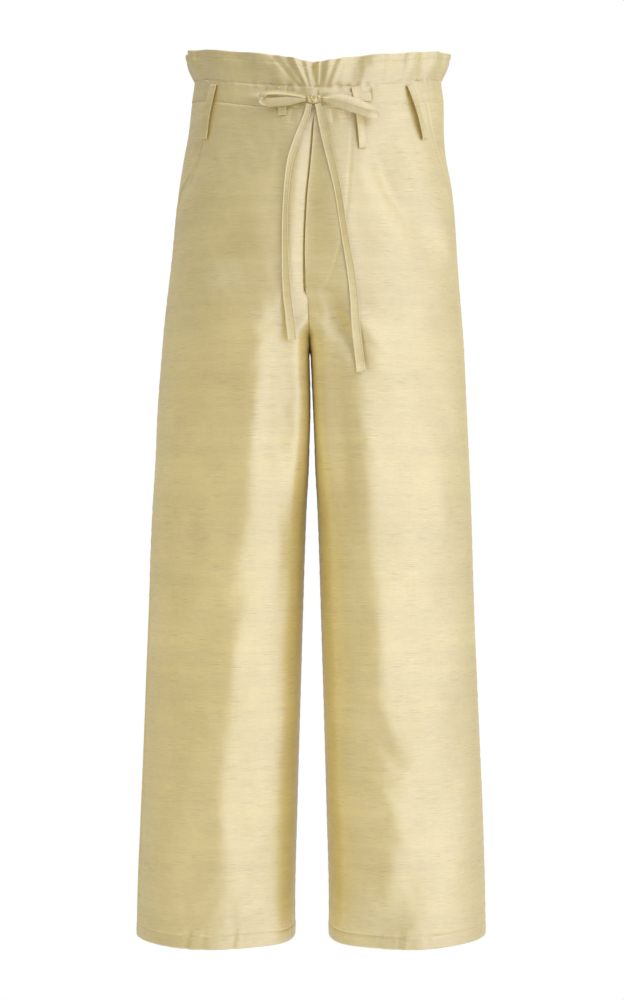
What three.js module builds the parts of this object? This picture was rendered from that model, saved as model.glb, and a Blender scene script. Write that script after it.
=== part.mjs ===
// Straight-leg trousers with a paper-bag drawstring waist, filled out as worn.
// Millimetres, +Z up, the front faces -Y. The origin is the centre of the waist, where the
// wearer holds the garment. The wearer's right side is at -X.
import * as THREE from "three";

// Cloth
const WALL = 1.4; // a panel, as built
const BAND_WALL = 2.2; // the casing and heading are two layers
const HEM_WALL = 2.8; // the hem is turned up twice
const HEM_DEPTH = 15;
const SEAM_GAP = 0.3;

// Levels, measured at the side seams
const HEADING_TOP = 45;
const CASING_TOP = 11;
const CASING_BOTTOM = -15;
const CROTCH = -304;
const HEM = -1007;
const FRONT_CROTCH_START = -205; // where the centre front seam starts to turn under
const BACK_CROTCH_START = -120;

// The waist dips at the front and rises a little at the back
const FRONT_DROP = 23;
const BACK_RISE = 5;
const DROP_FADES_OUT = -185;

// The heading stands out from the casing
const HEADING_FLARE = 9;
const HEADING_TURN_IN = 3; // the stitched top edge leans back in
const KNOT_PULL = 6.5; // the drawstring's knot pulls the heading down at the centre front
const KNOT_PULL_REACH = 13; // degrees round the waist

// The fly: the left front laps over the right one, thicker as far as its J stitch
const LAP_HEIGHT = 1.2;
const LAP_WIDTH = 34;
const FLY_BOTTOM = -236;

// The centre front sinks between the thighs' fullness, more gently on the left
const VALLEY_DEPTH = 5.5;
const VALLEY_REACH_RIGHT = 16;
const VALLEY_REACH_LEFT = 27;
const VALLEY_TOP = -42;
const VALLEY_BOTTOM = -185;

// Tapes
const TAPE_WIDTH = 10.5;
const TAPE_THICK = 1.4;
const BELT_LOOP_WIDTH = 11;
const BELT_LOOP_THICK = 1.5;
const BELT_LOOP_STANDS_OFF = 3.6;

// Grid of one panel and of the waistband
const PANEL_COLUMNS = 14;
const BAND_COLUMNS = 108;

const CLOTH = { color: 0xb7a26b, roughness: 0.46, metalness: 0 };
const CLOTH_DARK = { color: 0x9a8550, roughness: 0.5, metalness: 0 };
const RIGHT = -1;
const LEFT = 1;
const FRONT = -1;
const BACK = 1;

/** Turns rows of numbers into objects with the named columns. */
function table(columns, rows) {
  return rows.map((row) => Object.fromEntries(columns.map((name, i) => [name, row[i]])));
}

// The body at each level: where its two outer edges, its centre plane and the inner edges of
// the legs stand across X, and how far the front and back reach from the side seams. A nose is
// how many degrees past the middle of a leg, towards the inseam, its front stands out most.
const SECTIONS = table(
  [
    "z", "rightEdge", "leftEdge", "centre", "halfGap", "front", "back", "rightNose", "leftNose",
  ],
  [
    [60, -141, 153, 6.5, 0.15, 90, 91, 0, 0],
    [12, -141.5, 153.5, 6.5, 0.15, 90, 91, 0, 0],
    [-14, -145, 156.5, 5.8, 0.15, 93, 94, 0, 0],
    [-50, -149, 157, 4, 0.15, 97, 101, 0, 0],
    [-80, -154.5, 159.5, 2, 0.15, 100, 108, 0, 0],
    [-112, -159.5, 165.5, -1, 0.15, 103, 116, 0, 0],
    [-142, -163, 169, -4, 0.15, 105, 122, 0, 0],
    [-202, -169, 173, -6.5, 0.15, 106, 128, 6, 10],
    [-262, -176, 177.5, -5, 0.15, 106, 124, 12, 18],
    [-304, -180, 180.5, -4, 0.15, 104, 117, 15, 23],
    [-382, -186, 184, -1.5, 1, 102, 109, 16, 22],
    [-442, -188.5, 187, -1.2, 3.6, 101, 105, 14, 20],
    [-502, -192, 189.5, -1.2, 7, 100, 103, 13, 19],
    [-622, -197, 193, -1.2, 11, 99, 101, 9, 18],
    [-742, -201.5, 198, -1.2, 14.6, 99, 101, 8, 15],
    [-862, -206.5, 203, -1.2, 18, 100, 101, 2, 12],
    [-950, -210, 206, -1.2, 20.4, 101, 101, 0, 8],
    [-1007, -211, 206.5, -1.2, 20.4, 101, 101, 0, 5],
  ],
);

const PANEL_LEVELS = [
  -50, -95, -140, -180, -210, -236, -256, -272, -285, -295, -304, -330, -370, -420, -475, -535,
  -595, -660, -725, -790, -855, -925,
];

// The largest folds, as lines on the front or back: a minus depth is a trough.
const FOLDS = table(
  ["face", "x0", "z0", "x1", "z1", "halfWidth", "depth"],
  [
    [FRONT, 10, -244, 88, -326, 15, 4.5],
    [FRONT, 4, -262, 62, -338, 12, -4],
    [FRONT, 78, -92, 118, -165, 22, -4],
    [FRONT, 118, -165, 150, -215, 20, -3],
    [FRONT, -128, -60, -150, -125, 14, -3.5],
    [FRONT, -62, -290, -72, -466, 20, 4],
    [FRONT, -72, -466, -98, -628, 20, 4],
    [FRONT, -98, -628, -93, -720, 20, 4],
    [FRONT, -93, -720, -118, -926, 20, 4],
    [FRONT, 46, -350, 66, -560, 18, 4],
    [FRONT, 66, -560, 77, -720, 18, 4],
    [FRONT, 77, -720, 98, -770, 18, 3],
    [FRONT, 72, -812, 98, -890, 18, 3],
    [FRONT, 98, -890, 74, -980, 18, 3],
    [BACK, -6, -240, -78, -330, 20, 5],
    [BACK, -4, -240, 74, -336, 20, 5],
    [BACK, -70, -110, -130, -180, 22, -4],
    [BACK, 72, -104, 128, -186, 22, -4],
    [BACK, -104, -390, -112, -760, 30, 3],
    [BACK, 100, -360, 110, -720, 30, 3],
  ],
);

// Pleats of the heading. Angles run round the waist from the left side seam (0) by the centre
// front (90) and the right side seam (180) to the centre back (270).
const PLEATS = table(
  ["atSeam", "atTop", "halfWidth", "depth"],
  [
    [8, 7, 5, 3],
    [18, 17, 5, -3],
    [29, 28, 5, 3],
    [37, 37, 4.5, -3.5],
    [46, 44, 5, 3],
    [56, 54, 5.5, -2.5],
    [67, 64, 5.5, 3],
    [76, 73, 4.5, -3.5],
    [83, 82, 4, 3],
    [92, 94.5, 3.6, -5],
    [95.5, 104, 4.4, 4],
    [97.5, 110, 4.4, -3.5],
    [106, 119, 6, 2.5],
    [121, 127, 6, -2],
    [139, 139, 8, 2],
    [153, 157, 5, -4],
    [162, 165, 5, 3.5],
    [173, 175, 5, -3],
    [186, 186, 5, 3.5],
    [197, 198, 5, -3.5],
    [210, 208, 5.5, 3],
    [222, 221, 5, -3],
    [233, 234, 5, 3.5],
    [245, 244, 5, -3.5],
    [256, 257, 5, 3],
    [267, 266, 4.6, -4],
    [278, 279, 5, 3.5],
    [289, 288, 5, -3],
    [301, 302, 5.5, 3],
    [313, 312, 5, -3.5],
    [325, 326, 5, 3],
    [337, 336, 5, -3],
    [349, 349, 5, 3],
  ],
);

/** One column of the sections at a level, as a smooth curve through the rows. */
function section(z, column) {
  const last = SECTIONS.length - 1;
  let i = 0;
  while (i < last - 1 && z < SECTIONS[i + 1].z) i += 1;
  const slope = (k) => {
    const above = SECTIONS[Math.max(k - 1, 0)];
    const below = SECTIONS[Math.min(k + 1, last)];
    return (below[column] - above[column]) / (below.z - above.z);
  };
  const from = SECTIONS[i];
  const to = SECTIONS[i + 1];
  const span = to.z - from.z;
  const t = THREE.MathUtils.clamp((z - from.z) / span, 0, 1);
  const t2 = t * t;
  const t3 = t2 * t;
  return (
    (2 * t3 - 3 * t2 + 1) * from[column] +
    (t3 - 2 * t2 + t) * span * slope(i) +
    (3 * t2 - 2 * t3) * to[column] +
    (t3 - t2) * span * slope(i + 1)
  );
}

/** How far round from the side seam a panel reaches: 90 degrees on the body, 180 on a leg. */
function panelSweep(face, z) {
  const start = face === FRONT ? FRONT_CROTCH_START : BACK_CROTCH_START;
  const t = THREE.MathUtils.clamp((start - z) / (start - CROTCH), 0, 1);
  return (Math.PI / 2) * (1 + t ** 1.5);
}

/** Centre and half-width of one side's section, from the centre plane outwards. */
function sideArc(side, face, z) {
  const centre = section(z, "centre");
  const outer = Math.abs(section(z, side === RIGHT ? "rightEdge" : "leftEdge") - centre);
  const inner = Math.max(section(z, "halfGap"), SEAM_GAP / 2);
  const sweep = panelSweep(face, z);
  const radius = (outer - inner) / (1 - Math.cos(sweep));
  const nose = face === FRONT ? section(z, side === RIGHT ? "rightNose" : "leftNose") : 0;
  const asLeg = sweep / (Math.PI / 2) - 1;
  const lean = THREE.MathUtils.degToRad(nose) * asLeg;
  return { centre, radius, middle: outer - radius, sweep, lean };
}

/** Height of the folds at a place on the front or back. */
function foldHeight(face, x, z) {
  let height = 0;
  for (const fold of FOLDS) {
    if (fold.face !== face) continue;
    const runX = fold.x1 - fold.x0;
    const runZ = fold.z1 - fold.z0;
    const along = ((x - fold.x0) * runX + (z - fold.z0) * runZ) / (runX * runX + runZ * runZ);
    const t = THREE.MathUtils.clamp(along, 0, 1);
    const away = Math.hypot(x - fold.x0 - t * runX, z - fold.z0 - t * runZ) / fold.halfWidth;
    height += fold.depth * Math.exp(-away * away) * (0.35 + 0.65 * Math.sin(Math.PI * t));
  }
  return height;
}

/** How far the left front stands proud over the fly. */
function lapHeight(side, face, x, z) {
  if (side !== LEFT || face !== FRONT) return 0;
  const across = 1 - THREE.MathUtils.smoothstep(x - section(z, "centre"), LAP_WIDTH - 14, LAP_WIDTH);
  return LAP_HEIGHT * across * THREE.MathUtils.smoothstep(z, FLY_BOTTOM - 30, FLY_BOTTOM + 20);
}

/** How deep the centre front sinks along the fly. */
function valleyDepth(face, x, z) {
  if (face !== FRONT) return 0;
  const across = x - section(z, "centre");
  const away = across / (across < 0 ? VALLEY_REACH_RIGHT : VALLEY_REACH_LEFT);
  const starts = 1 - THREE.MathUtils.smoothstep(z, VALLEY_TOP - 45, VALLEY_TOP);
  const ends = THREE.MathUtils.smoothstep(z, VALLEY_BOTTOM - 50, VALLEY_BOTTOM);
  return VALLEY_DEPTH * Math.exp(-away * away) * starts * ends;
}

/** A point of the cloth's outer face and the way it faces, seen from above. */
function clothPoint(side, face, angle, z, out = 0) {
  const arc = sideArc(side, face, z);
  const depth = section(z, face === FRONT ? "front" : "back");
  const x = arc.centre + side * (arc.middle + arc.radius * Math.cos(angle));
  const leaned = angle - arc.lean * Math.sin(angle);
  const y = face * depth * Math.sin(leaned);
  const normalX = side * depth * Math.cos(leaned) * (1 - arc.lean * Math.cos(angle));
  const normalY = face * arc.radius * Math.sin(angle);
  const length = Math.hypot(normalX, normalY);
  const atSeam = Math.sin(Math.PI * THREE.MathUtils.clamp(angle / arc.sweep, 0, 1));
  const folds = foldHeight(face, x, z) * Math.min(1, 1.6 * atSeam);
  const fly = z < CASING_BOTTOM ? lapHeight(side, face, x, z) - valleyDepth(face, x, z) : 0;
  const raise = out + folds + fly;
  return new THREE.Vector3(
    x + (raise * normalX) / length,
    y + (raise * normalY) / length,
    z,
  );
}

/** A point beside the front or back at a given X, standing off the cloth. */
function besidePoint(face, x, z, off = 0) {
  const side = x < section(z, "centre") ? RIGHT : LEFT;
  const arc = sideArc(side, face, z);
  const cosine = (Math.abs(x - arc.centre) - arc.middle) / arc.radius;
  const angle = Math.acos(THREE.MathUtils.clamp(cosine, Math.cos(arc.sweep), 1));
  return clothPoint(side, face, angle, z, off);
}

/** How far the waist has dropped or risen at an angle from the side seam. */
function waistTilt(face, angle, level) {
  const fade = THREE.MathUtils.smoothstep(level, DROP_FADES_OUT, CASING_BOTTOM);
  const most = face === FRONT ? -FRONT_DROP : BACK_RISE;
  return most * Math.sin(Math.min(angle, Math.PI / 2)) ** 2 * fade;
}

/** Turns a mesh the right way round if its faces point inwards. */
function facingOut(geometry) {
  const position = geometry.getAttribute("position");
  const index = geometry.getIndex();
  const corner = (i) => new THREE.Vector3().fromBufferAttribute(position, index.getX(i));
  let volume = 0;
  for (let i = 0; i < index.count; i += 3) {
    volume += corner(i).dot(corner(i + 1).cross(corner(i + 2)));
  }
  if (volume < 0) geometry.setIndex([...index.array].reverse());
  geometry.computeVertexNormals();
  return geometry;
}

/** A closed wall between an outer and an inner grid of points with the same rows and columns. */
function wall(outer, inner) {
  const rows = outer.length;
  const columns = outer[0].length;
  const points = [...outer.flat(), ...inner.flat()];
  const index = [];
  const at = (layer, row, column) => (layer * rows + row) * columns + column;
  const face = (a, b, c, d) => index.push(a, b, c, a, c, d);
  for (let r = 0; r < rows - 1; r += 1) {
    for (let c = 0; c < columns - 1; c += 1) {
      face(at(0, r, c), at(0, r + 1, c), at(0, r + 1, c + 1), at(0, r, c + 1));
      face(at(1, r, c), at(1, r, c + 1), at(1, r + 1, c + 1), at(1, r + 1, c));
    }
  }
  for (let r = 0; r < rows - 1; r += 1) {
    face(at(0, r, 0), at(1, r, 0), at(1, r + 1, 0), at(0, r + 1, 0));
    const end = columns - 1;
    face(at(0, r, end), at(0, r + 1, end), at(1, r + 1, end), at(1, r, end));
  }
  for (let c = 0; c < columns - 1; c += 1) {
    face(at(0, 0, c), at(0, 0, c + 1), at(1, 0, c + 1), at(1, 0, c));
    const end = rows - 1;
    face(at(0, end, c), at(1, end, c), at(1, end, c + 1), at(0, end, c + 1));
  }
  const geometry = new THREE.BufferGeometry().setFromPoints(points);
  geometry.setIndex(index);
  return facingOut(geometry);
}

/** A flat tape of constant width along a path, with rounded edges and flat ends. */
function tape(path, acrossAt, steps, width, thick) {
  const outline = [
    [0.5, 0.2],
    [0.44, 0.5],
    [-0.44, 0.5],
    [-0.5, 0.2],
    [-0.5, -0.2],
    [-0.44, -0.5],
    [0.44, -0.5],
    [0.5, -0.2],
  ];
  const sides = outline.length;
  const points = [];
  const index = [];
  for (let i = 0; i <= steps; i += 1) {
    const t = i / steps;
    const middle = path.getPointAt(t);
    const along = path.getTangentAt(t);
    const across = acrossAt(t, middle).projectOnPlane(along).normalize();
    const up = along.clone().cross(across);
    for (const [u, v] of outline) {
      const point = middle.clone();
      point.addScaledVector(across, u * width);
      point.addScaledVector(up, v * thick);
      points.push(point);
    }
  }
  for (let i = 0; i < steps; i += 1) {
    for (let k = 0; k < sides; k += 1) {
      const a = i * sides + k;
      const b = i * sides + ((k + 1) % sides);
      index.push(a, b, b + sides, a, b + sides, a + sides);
    }
  }
  const last = steps * sides;
  for (let k = 1; k < sides - 1; k += 1) {
    index.push(0, k + 1, k);
    index.push(last, last + k, last + k + 1);
  }
  const geometry = new THREE.BufferGeometry().setFromPoints(points);
  geometry.setIndex(index);
  return facingOut(geometry);
}

/** One leg panel, from the casing to the hem. */
function panel(side, face) {
  const hemTop = HEM + HEM_DEPTH;
  const levels = [CASING_BOTTOM - SEAM_GAP, ...PANEL_LEVELS, hemTop + 1, hemTop - 1, HEM];
  const outer = [];
  const inner = [];
  for (const level of levels) {
    const thick = level < hemTop ? HEM_WALL : WALL;
    const outerRow = [];
    const innerRow = [];
    for (let j = 0; j <= PANEL_COLUMNS; j += 1) {
      const rough = (panelSweep(face, level) * j) / PANEL_COLUMNS;
      const z = level + waistTilt(face, rough, level);
      const depth = section(z, face === FRONT ? "front" : "back");
      const trim = SEAM_GAP / 2 / depth;
      const sweep = panelSweep(face, z);
      const last = sweep > Math.PI * 0.75 ? sweep - trim : sweep;
      const angle = THREE.MathUtils.clamp((sweep * j) / PANEL_COLUMNS, trim, last);
      outerRow.push(clothPoint(side, face, angle, z));
      innerRow.push(clothPoint(side, face, angle, z, -thick));
    }
    outer.push(outerRow);
    inner.push(innerRow);
  }
  return wall(outer, inner);
}

/** Height of the heading's pleats at an angle round the waist; t is 0 at the seam, 1 at the top. */
function pleatHeight(turn, t) {
  let height = 0;
  for (const pleat of PLEATS) {
    const middle = THREE.MathUtils.lerp(pleat.atSeam, pleat.atTop, t);
    const away = (turn - middle) / (pleat.halfWidth * (0.75 + 0.35 * t));
    height += pleat.depth * Math.exp(-away * away);
  }
  return height * (0.25 + 0.75 * t);
}

/** The waistband: the casing, then the heading that flares and pleats above it. */
function waistband() {
  const rows = [CASING_BOTTOM, -2, CASING_TOP, 18, 28, 38, HEADING_TOP];
  const startTurn = 90.15; // the two ends meet at the centre front
  const outer = [];
  const inner = [];
  for (const level of rows) {
    const t = Math.max(0, (level - CASING_TOP) / (HEADING_TOP - CASING_TOP));
    const flare = HEADING_FLARE * Math.sin(Math.min(t * 1.25, 1) * (Math.PI / 2));
    const turnIn = HEADING_TURN_IN * Math.max(0, t - 0.75) * 4;
    const outerRow = [];
    const innerRow = [];
    for (let j = 0; j <= BAND_COLUMNS; j += 1) {
      const turn = startTurn + ((360 - 0.3) * j) / BAND_COLUMNS;
      const angle = THREE.MathUtils.degToRad(turn % 360);
      const face = Math.sin(angle) >= 0 ? FRONT : BACK;
      const side = Math.cos(angle) >= 0 ? LEFT : RIGHT;
      const fromSide = Math.asin(Math.min(1, Math.abs(Math.sin(angle))));
      const knotPull = KNOT_PULL * t * Math.exp(-((((turn % 360) - 91) / KNOT_PULL_REACH) ** 2));
      const z = level + waistTilt(face, fromSide, level) - knotPull;
      const pleats = t > 0 ? pleatHeight(turn % 360, t) : 0;
      const out = flare - turnIn + pleats;
      outerRow.push(clothPoint(side, face, fromSide, z, out));
      innerRow.push(clothPoint(side, face, fromSide, z, out - BAND_WALL));
    }
    outer.push(outerRow);
    inner.push(innerRow);
  }
  return wall(outer, inner);
}

/** A belt loop over the casing: its ends lie on the cloth and its middle stands off. */
function beltLoop({ face, topX, topZ, bottomX, bottomZ }) {
  const outer = [];
  const inner = [];
  const steps = 8;
  const across = 2;
  for (let i = 0; i <= steps; i += 1) {
    const t = i / steps;
    const stand = 2 * SEAM_GAP + BELT_LOOP_STANDS_OFF * Math.sin(Math.PI * t) ** 0.5;
    const x = THREE.MathUtils.lerp(topX, bottomX, t);
    const z = THREE.MathUtils.lerp(topZ, bottomZ, t);
    const outerRow = [];
    const innerRow = [];
    for (let j = 0; j <= across; j += 1) {
      const beside = x + BELT_LOOP_WIDTH * (j / across - 0.5) * widthOnFace(face, x, z);
      innerRow.push(besidePoint(face, beside, z, stand));
      outerRow.push(besidePoint(face, beside, z, stand + BELT_LOOP_THICK));
    }
    outer.push(outerRow);
    inner.push(innerRow);
  }
  return wall(outer, inner);
}

/** How much X a millimetre of cloth covers where the body curves away from the front. */
function widthOnFace(face, x, z) {
  const a = besidePoint(face, x - 1, z);
  const b = besidePoint(face, x + 1, z);
  return 2 / a.distanceTo(b);
}

const BELT_LOOPS = {
  belt_loop_right_outer: { face: FRONT, topX: -117, topZ: 0, bottomX: -128, bottomZ: -58 },
  belt_loop_right_inner: { face: FRONT, topX: -35, topZ: -11.5, bottomX: -35, bottomZ: -46 },
  belt_loop_left_inner: { face: FRONT, topX: 50, topZ: -11.5, bottomX: 58, bottomZ: -80 },
  belt_loop_left_outer: { face: FRONT, topX: 118, topZ: 0, bottomX: 130, bottomZ: -58 },
  belt_loop_back_right: { face: BACK, topX: -62, topZ: 12, bottomX: -65, bottomZ: -46 },
  belt_loop_back_left: { face: BACK, topX: 74, topZ: 12, bottomX: 77, bottomZ: -46 },
};

// The drawstring's stretches, as places on the front and how far each stands off the cloth
const ROUTE = ["x", "z", "off"];
const RIGHT_STRAND = table(ROUTE, [
  [-54, -24, 1.4],
  [-42, -24, 1.4],
  [-30, -24.5, 1.6],
  [-18, -26, 2.2],
  [-9.8, -28, 3.6],
]);
const LEFT_STRAND = table(ROUTE, [
  [67, -23.5, 1.4],
  [54, -24, 1.4],
  [40, -24.5, 1.6],
  [24, -26, 2.2],
  [12, -28, 3.6],
]);
const RIGHT_LOOP = table(ROUTE, [
  [-8.5, -28, 11],
  [-24, -20, 13],
  [-42, -18.5, 13.5],
  [-55, -21, 13],
  [-59.5, -28, 12.5],
  [-55, -36, 12.5],
  [-42, -37.5, 13],
  [-24, -35.5, 13],
  [-8.5, -31.4, 11],
]);
const LEFT_LOOP = table(ROUTE, [
  [10.7, -30.4, 11.4],
  [28, -35, 16.5],
  [50, -40, 19],
  [68, -44.5, 19],
  [75, -45, 15.5],
  [68, -40, 11.5],
  [50, -33, 10],
  [28, -27.5, 8.6],
  [10.7, -29, 8.2],
]);
const RIGHT_TAIL = table(ROUTE, [
  [-5.2, -37.4, 6.4],
  [-7.5, -47, 3.6],
  [-10.5, -56, 2.2],
  [-18.5, -76, 2],
  [-26.5, -100.5, 1.8],
  [-32, -150, 1.8],
  [-32.5, -210, 2],
  [-28, -250, 4],
  [-27, -280, 12],
  [-25.5, -304, 24],
]);
const LEFT_TAIL = table(ROUTE, [
  [6.6, -37.4, 6.4],
  [8.6, -48, 3.6],
  [11, -58, 2.2],
  [17, -84, 2],
  [27.5, -130, 1.8],
  [35.5, -180, 1.8],
  [43.5, -229, 2],
  [47, -259, 2.4],
  [49.5, -289, 2.6],
  [53, -326, 5],
  [55, -343, 7],
]);

/** The curve through a route's places. */
function routeCurve(route) {
  const points = route.map(({ x, z, off }) => besidePoint(FRONT, x, z, off));
  return new THREE.CatmullRomCurve3(points, false, "centripetal");
}

const SIDEWAYS = new THREE.Vector3(1, 0, 0);
const UPWARDS = new THREE.Vector3(0, 0, 1);

/** A flat tape along a route, its width turned by a fixed direction. */
function drawstring(route, across, steps) {
  return tape(routeCurve(route), () => across.clone(), steps, TAPE_WIDTH, TAPE_THICK);
}

/** The knot: a rounded block, pinched where the tape wraps round it. */
function knot() {
  const shape = new THREE.Shape();
  const halfWidth = 7.4;
  const halfHeight = 5.2;
  const round = 4;
  shape.moveTo(-halfWidth + round, -halfHeight);
  shape.lineTo(halfWidth - round, -halfHeight);
  shape.quadraticCurveTo(halfWidth, -halfHeight, halfWidth, 0);
  shape.quadraticCurveTo(halfWidth, halfHeight, halfWidth - round, halfHeight);
  shape.lineTo(-halfWidth + round, halfHeight);
  shape.quadraticCurveTo(-halfWidth, halfHeight, -halfWidth, 0);
  shape.quadraticCurveTo(-halfWidth, -halfHeight, -halfWidth + round, -halfHeight);
  const geometry = new THREE.ExtrudeGeometry(shape, {
    depth: 6.4,
    curveSegments: 5,
    bevelEnabled: true,
    bevelThickness: 1.8,
    bevelSize: 1.8,
    bevelSegments: 2,
  });
  geometry.rotateX(Math.PI / 2);
  return geometry;
}

const trousers = new THREE.Group();

/** Adds one named piece with its own material. */
function add(name, geometry, finish = CLOTH) {
  const mesh = new THREE.Mesh(geometry, new THREE.MeshStandardMaterial(finish));
  mesh.name = name;
  trousers.add(mesh);
  return mesh;
}

add("right_front", panel(RIGHT, FRONT));
add("left_front", panel(LEFT, FRONT));
add("right_back", panel(RIGHT, BACK));
add("left_back", panel(LEFT, BACK));
add("waistband", waistband());
for (const [name, place] of Object.entries(BELT_LOOPS)) add(name, beltLoop(place), CLOTH_DARK);
add("drawstring_strand_right", drawstring(RIGHT_STRAND, UPWARDS, 6));
add("drawstring_strand_left", drawstring(LEFT_STRAND, UPWARDS, 7));
add("bow_loop_right", drawstring(RIGHT_LOOP, new THREE.Vector3(0, -0.8, 0.6), 22));
add("bow_loop_left", drawstring(LEFT_LOOP, new THREE.Vector3(0, 0.35, 0.94), 24));
add("drawstring_tail_right", drawstring(RIGHT_TAIL, SIDEWAYS, 16));
add("drawstring_tail_left", drawstring(LEFT_TAIL, SIDEWAYS, 18));

const knotPiece = add("drawstring_knot", knot());
knotPiece.position.copy(besidePoint(FRONT, 1.1, -30, 4.2));

export default trousers;
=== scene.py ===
# %% [markdown]
# # Silk trousers with a paper-bag drawstring waist
#
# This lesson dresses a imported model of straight-leg trousers. The trousers are a hollow, worn
# shape: four leg panels, a waistband with a standing heading, belt loops and a drawstring tied
# in a bow. Everything below is thin slubbed silk, so the work is in three places: the shape of
# the cloth, the sewing that holds it, and one material that shows the weave and the sheen.
#
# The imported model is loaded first. It is the fixed frame that each new piece stands in.

# %% Load the frame
import math

import bpy
import numpy as np
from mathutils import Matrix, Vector


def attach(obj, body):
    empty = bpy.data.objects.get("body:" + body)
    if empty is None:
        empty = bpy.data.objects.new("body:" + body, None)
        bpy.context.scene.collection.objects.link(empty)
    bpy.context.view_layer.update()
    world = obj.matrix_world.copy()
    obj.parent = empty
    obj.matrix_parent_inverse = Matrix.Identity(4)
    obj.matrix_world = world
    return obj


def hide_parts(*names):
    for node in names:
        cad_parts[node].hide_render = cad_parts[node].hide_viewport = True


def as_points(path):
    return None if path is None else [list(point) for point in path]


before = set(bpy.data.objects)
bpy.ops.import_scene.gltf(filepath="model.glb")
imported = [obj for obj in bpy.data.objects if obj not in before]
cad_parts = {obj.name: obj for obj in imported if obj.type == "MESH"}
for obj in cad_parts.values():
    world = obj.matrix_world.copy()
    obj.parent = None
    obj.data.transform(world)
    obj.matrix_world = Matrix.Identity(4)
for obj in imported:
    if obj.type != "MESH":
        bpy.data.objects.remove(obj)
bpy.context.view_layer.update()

print("nodes in the frame:", len(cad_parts))

# %% [markdown]
# ## The camera
#
# The camera stands level with the middle of the garment, 2.4 m in front of it, with a lens
# that takes in 1.2 m of height at that distance. Long lenses like this keep the legs upright.

# %% Camera
MM = 0.001
CAMERA_DISTANCE = 2.4
CAMERA_ACROSS, CAMERA_HEIGHT = -0.0012, -0.4896
FRAME_HEIGHT = 1.2  # metres of the subject that fill the picture's long side
SENSOR = 36.0

bpy.ops.object.camera_add(
    location=(CAMERA_ACROSS, -CAMERA_DISTANCE, CAMERA_HEIGHT), rotation=(math.radians(90), 0, 0)
)
camera = bpy.context.object
camera.name = "camera"
camera.data.sensor_width = SENSOR
camera.data.lens = SENSOR * CAMERA_DISTANCE / FRAME_HEIGHT
bpy.context.scene.camera = camera
print("lens:", round(camera.data.lens, 1), "mm")

# %% [markdown]
# ## The pattern: sections of the body
#
# A pattern maker knows the garment by its measurements at each level. The table holds them in
# millimetres: the outer edges, the centre plane, half the gap between the legs, and how far the
# front and back reach from the side seams. A nose is how many degrees the front of a leg leans
# past its middle towards the inseam. One smooth curve through each column gives every level.

# %% Section table
SECTION_COLUMNS = (
    "z", "right_edge", "left_edge", "centre", "half_gap",
    "front", "back", "right_nose", "left_nose",
)
SECTION_ROWS = np.array([
    (60, -141, 153, 6.5, 0.15, 90, 91, 0, 0),
    (12, -141.5, 153.5, 6.5, 0.15, 90, 91, 0, 0),
    (-14, -145, 156.5, 5.8, 0.15, 93, 94, 0, 0),
    (-50, -149, 157, 4, 0.15, 97, 101, 0, 0),
    (-80, -154.5, 159.5, 2, 0.15, 100, 108, 0, 0),
    (-112, -159.5, 165.5, -1, 0.15, 103, 116, 0, 0),
    (-142, -163, 169, -4, 0.15, 105, 122, 0, 0),
    (-202, -169, 173, -6.5, 0.15, 106, 128, 6, 10),
    (-262, -176, 177.5, -5, 0.15, 106, 124, 12, 18),
    (-304, -180, 180.5, -4, 0.15, 104, 117, 15, 23),
    (-382, -186, 184, -1.5, 1, 102, 109, 16, 22),
    (-442, -188.5, 187, -1.2, 3.6, 101, 105, 14, 20),
    (-502, -192, 189.5, -1.2, 7, 100, 103, 13, 19),
    (-622, -197, 193, -1.2, 11, 99, 101, 9, 18),
    (-742, -201.5, 198, -1.2, 14.6, 99, 101, 8, 15),
    (-862, -206.5, 203, -1.2, 18, 100, 101, 2, 12),
    (-950, -210, 206, -1.2, 20.4, 101, 101, 0, 8),
    (-1007, -211, 206.5, -1.2, 20.4, 101, 101, 0, 5),
])

RIGHT, LEFT = -1, 1
FRONT, BACK = -1, 1
SIDE_NAME, FACE_NAME = {RIGHT: "right", LEFT: "left"}, {FRONT: "front", BACK: "back"}
HALF_SEAM = 0.15  # half the gap that the solids leave at a seam
SEAM_LAP = 0.4  # the seam's two sides run under each other
HEADING_TOP, CASING_TOP, CASING_BOTTOM = 45, 11, -15
CROTCH, HEM = -304, -1007
CROTCH_START = {FRONT: -205, BACK: -120}


def section(z, column):
    """One column of the table at any levels, by a cubic curve through the rows."""
    rows = SECTION_ROWS[::-1]
    levels = rows[:, 0]
    values = rows[:, SECTION_COLUMNS.index(column)]
    last = len(levels) - 1
    below = np.maximum(np.arange(last + 1) - 1, 0)
    above = np.minimum(np.arange(last + 1) + 1, last)
    slopes = (values[above] - values[below]) / (levels[above] - levels[below])
    z = np.asarray(z, float)
    i = np.clip(np.searchsorted(levels, z, side="right") - 1, 0, last - 1)
    span = levels[i + 1] - levels[i]
    t = np.clip((z - levels[i]) / span, 0, 1)
    return (
        (2 * t**3 - 3 * t**2 + 1) * values[i]
        + (t**3 - 2 * t**2 + t) * span * slopes[i]
        + (3 * t**2 - 2 * t**3) * values[i + 1]
        + (t**3 - t**2) * span * slopes[i + 1]
    )


def smoothstep(x, low, high):
    """From 0 at low to 1 at high, easing at both ends."""
    t = np.clip((np.asarray(x, float) - low) / (high - low), 0, 1)
    return t * t * (3 - 2 * t)


def plateau(x, foot, top, edge, end):
    """1 from top to edge, easing down to 0 at foot and at end."""
    return smoothstep(x, foot, top) * (1 - smoothstep(x, edge, end))


def bell(away, width):
    """From 1 where away is 0 down to nearly 0 in two widths."""
    return np.exp(-((away / width) ** 2))


print("hip width in mm:", round(float(section(-202, "left_edge") - section(-202, "right_edge"))))

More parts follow.
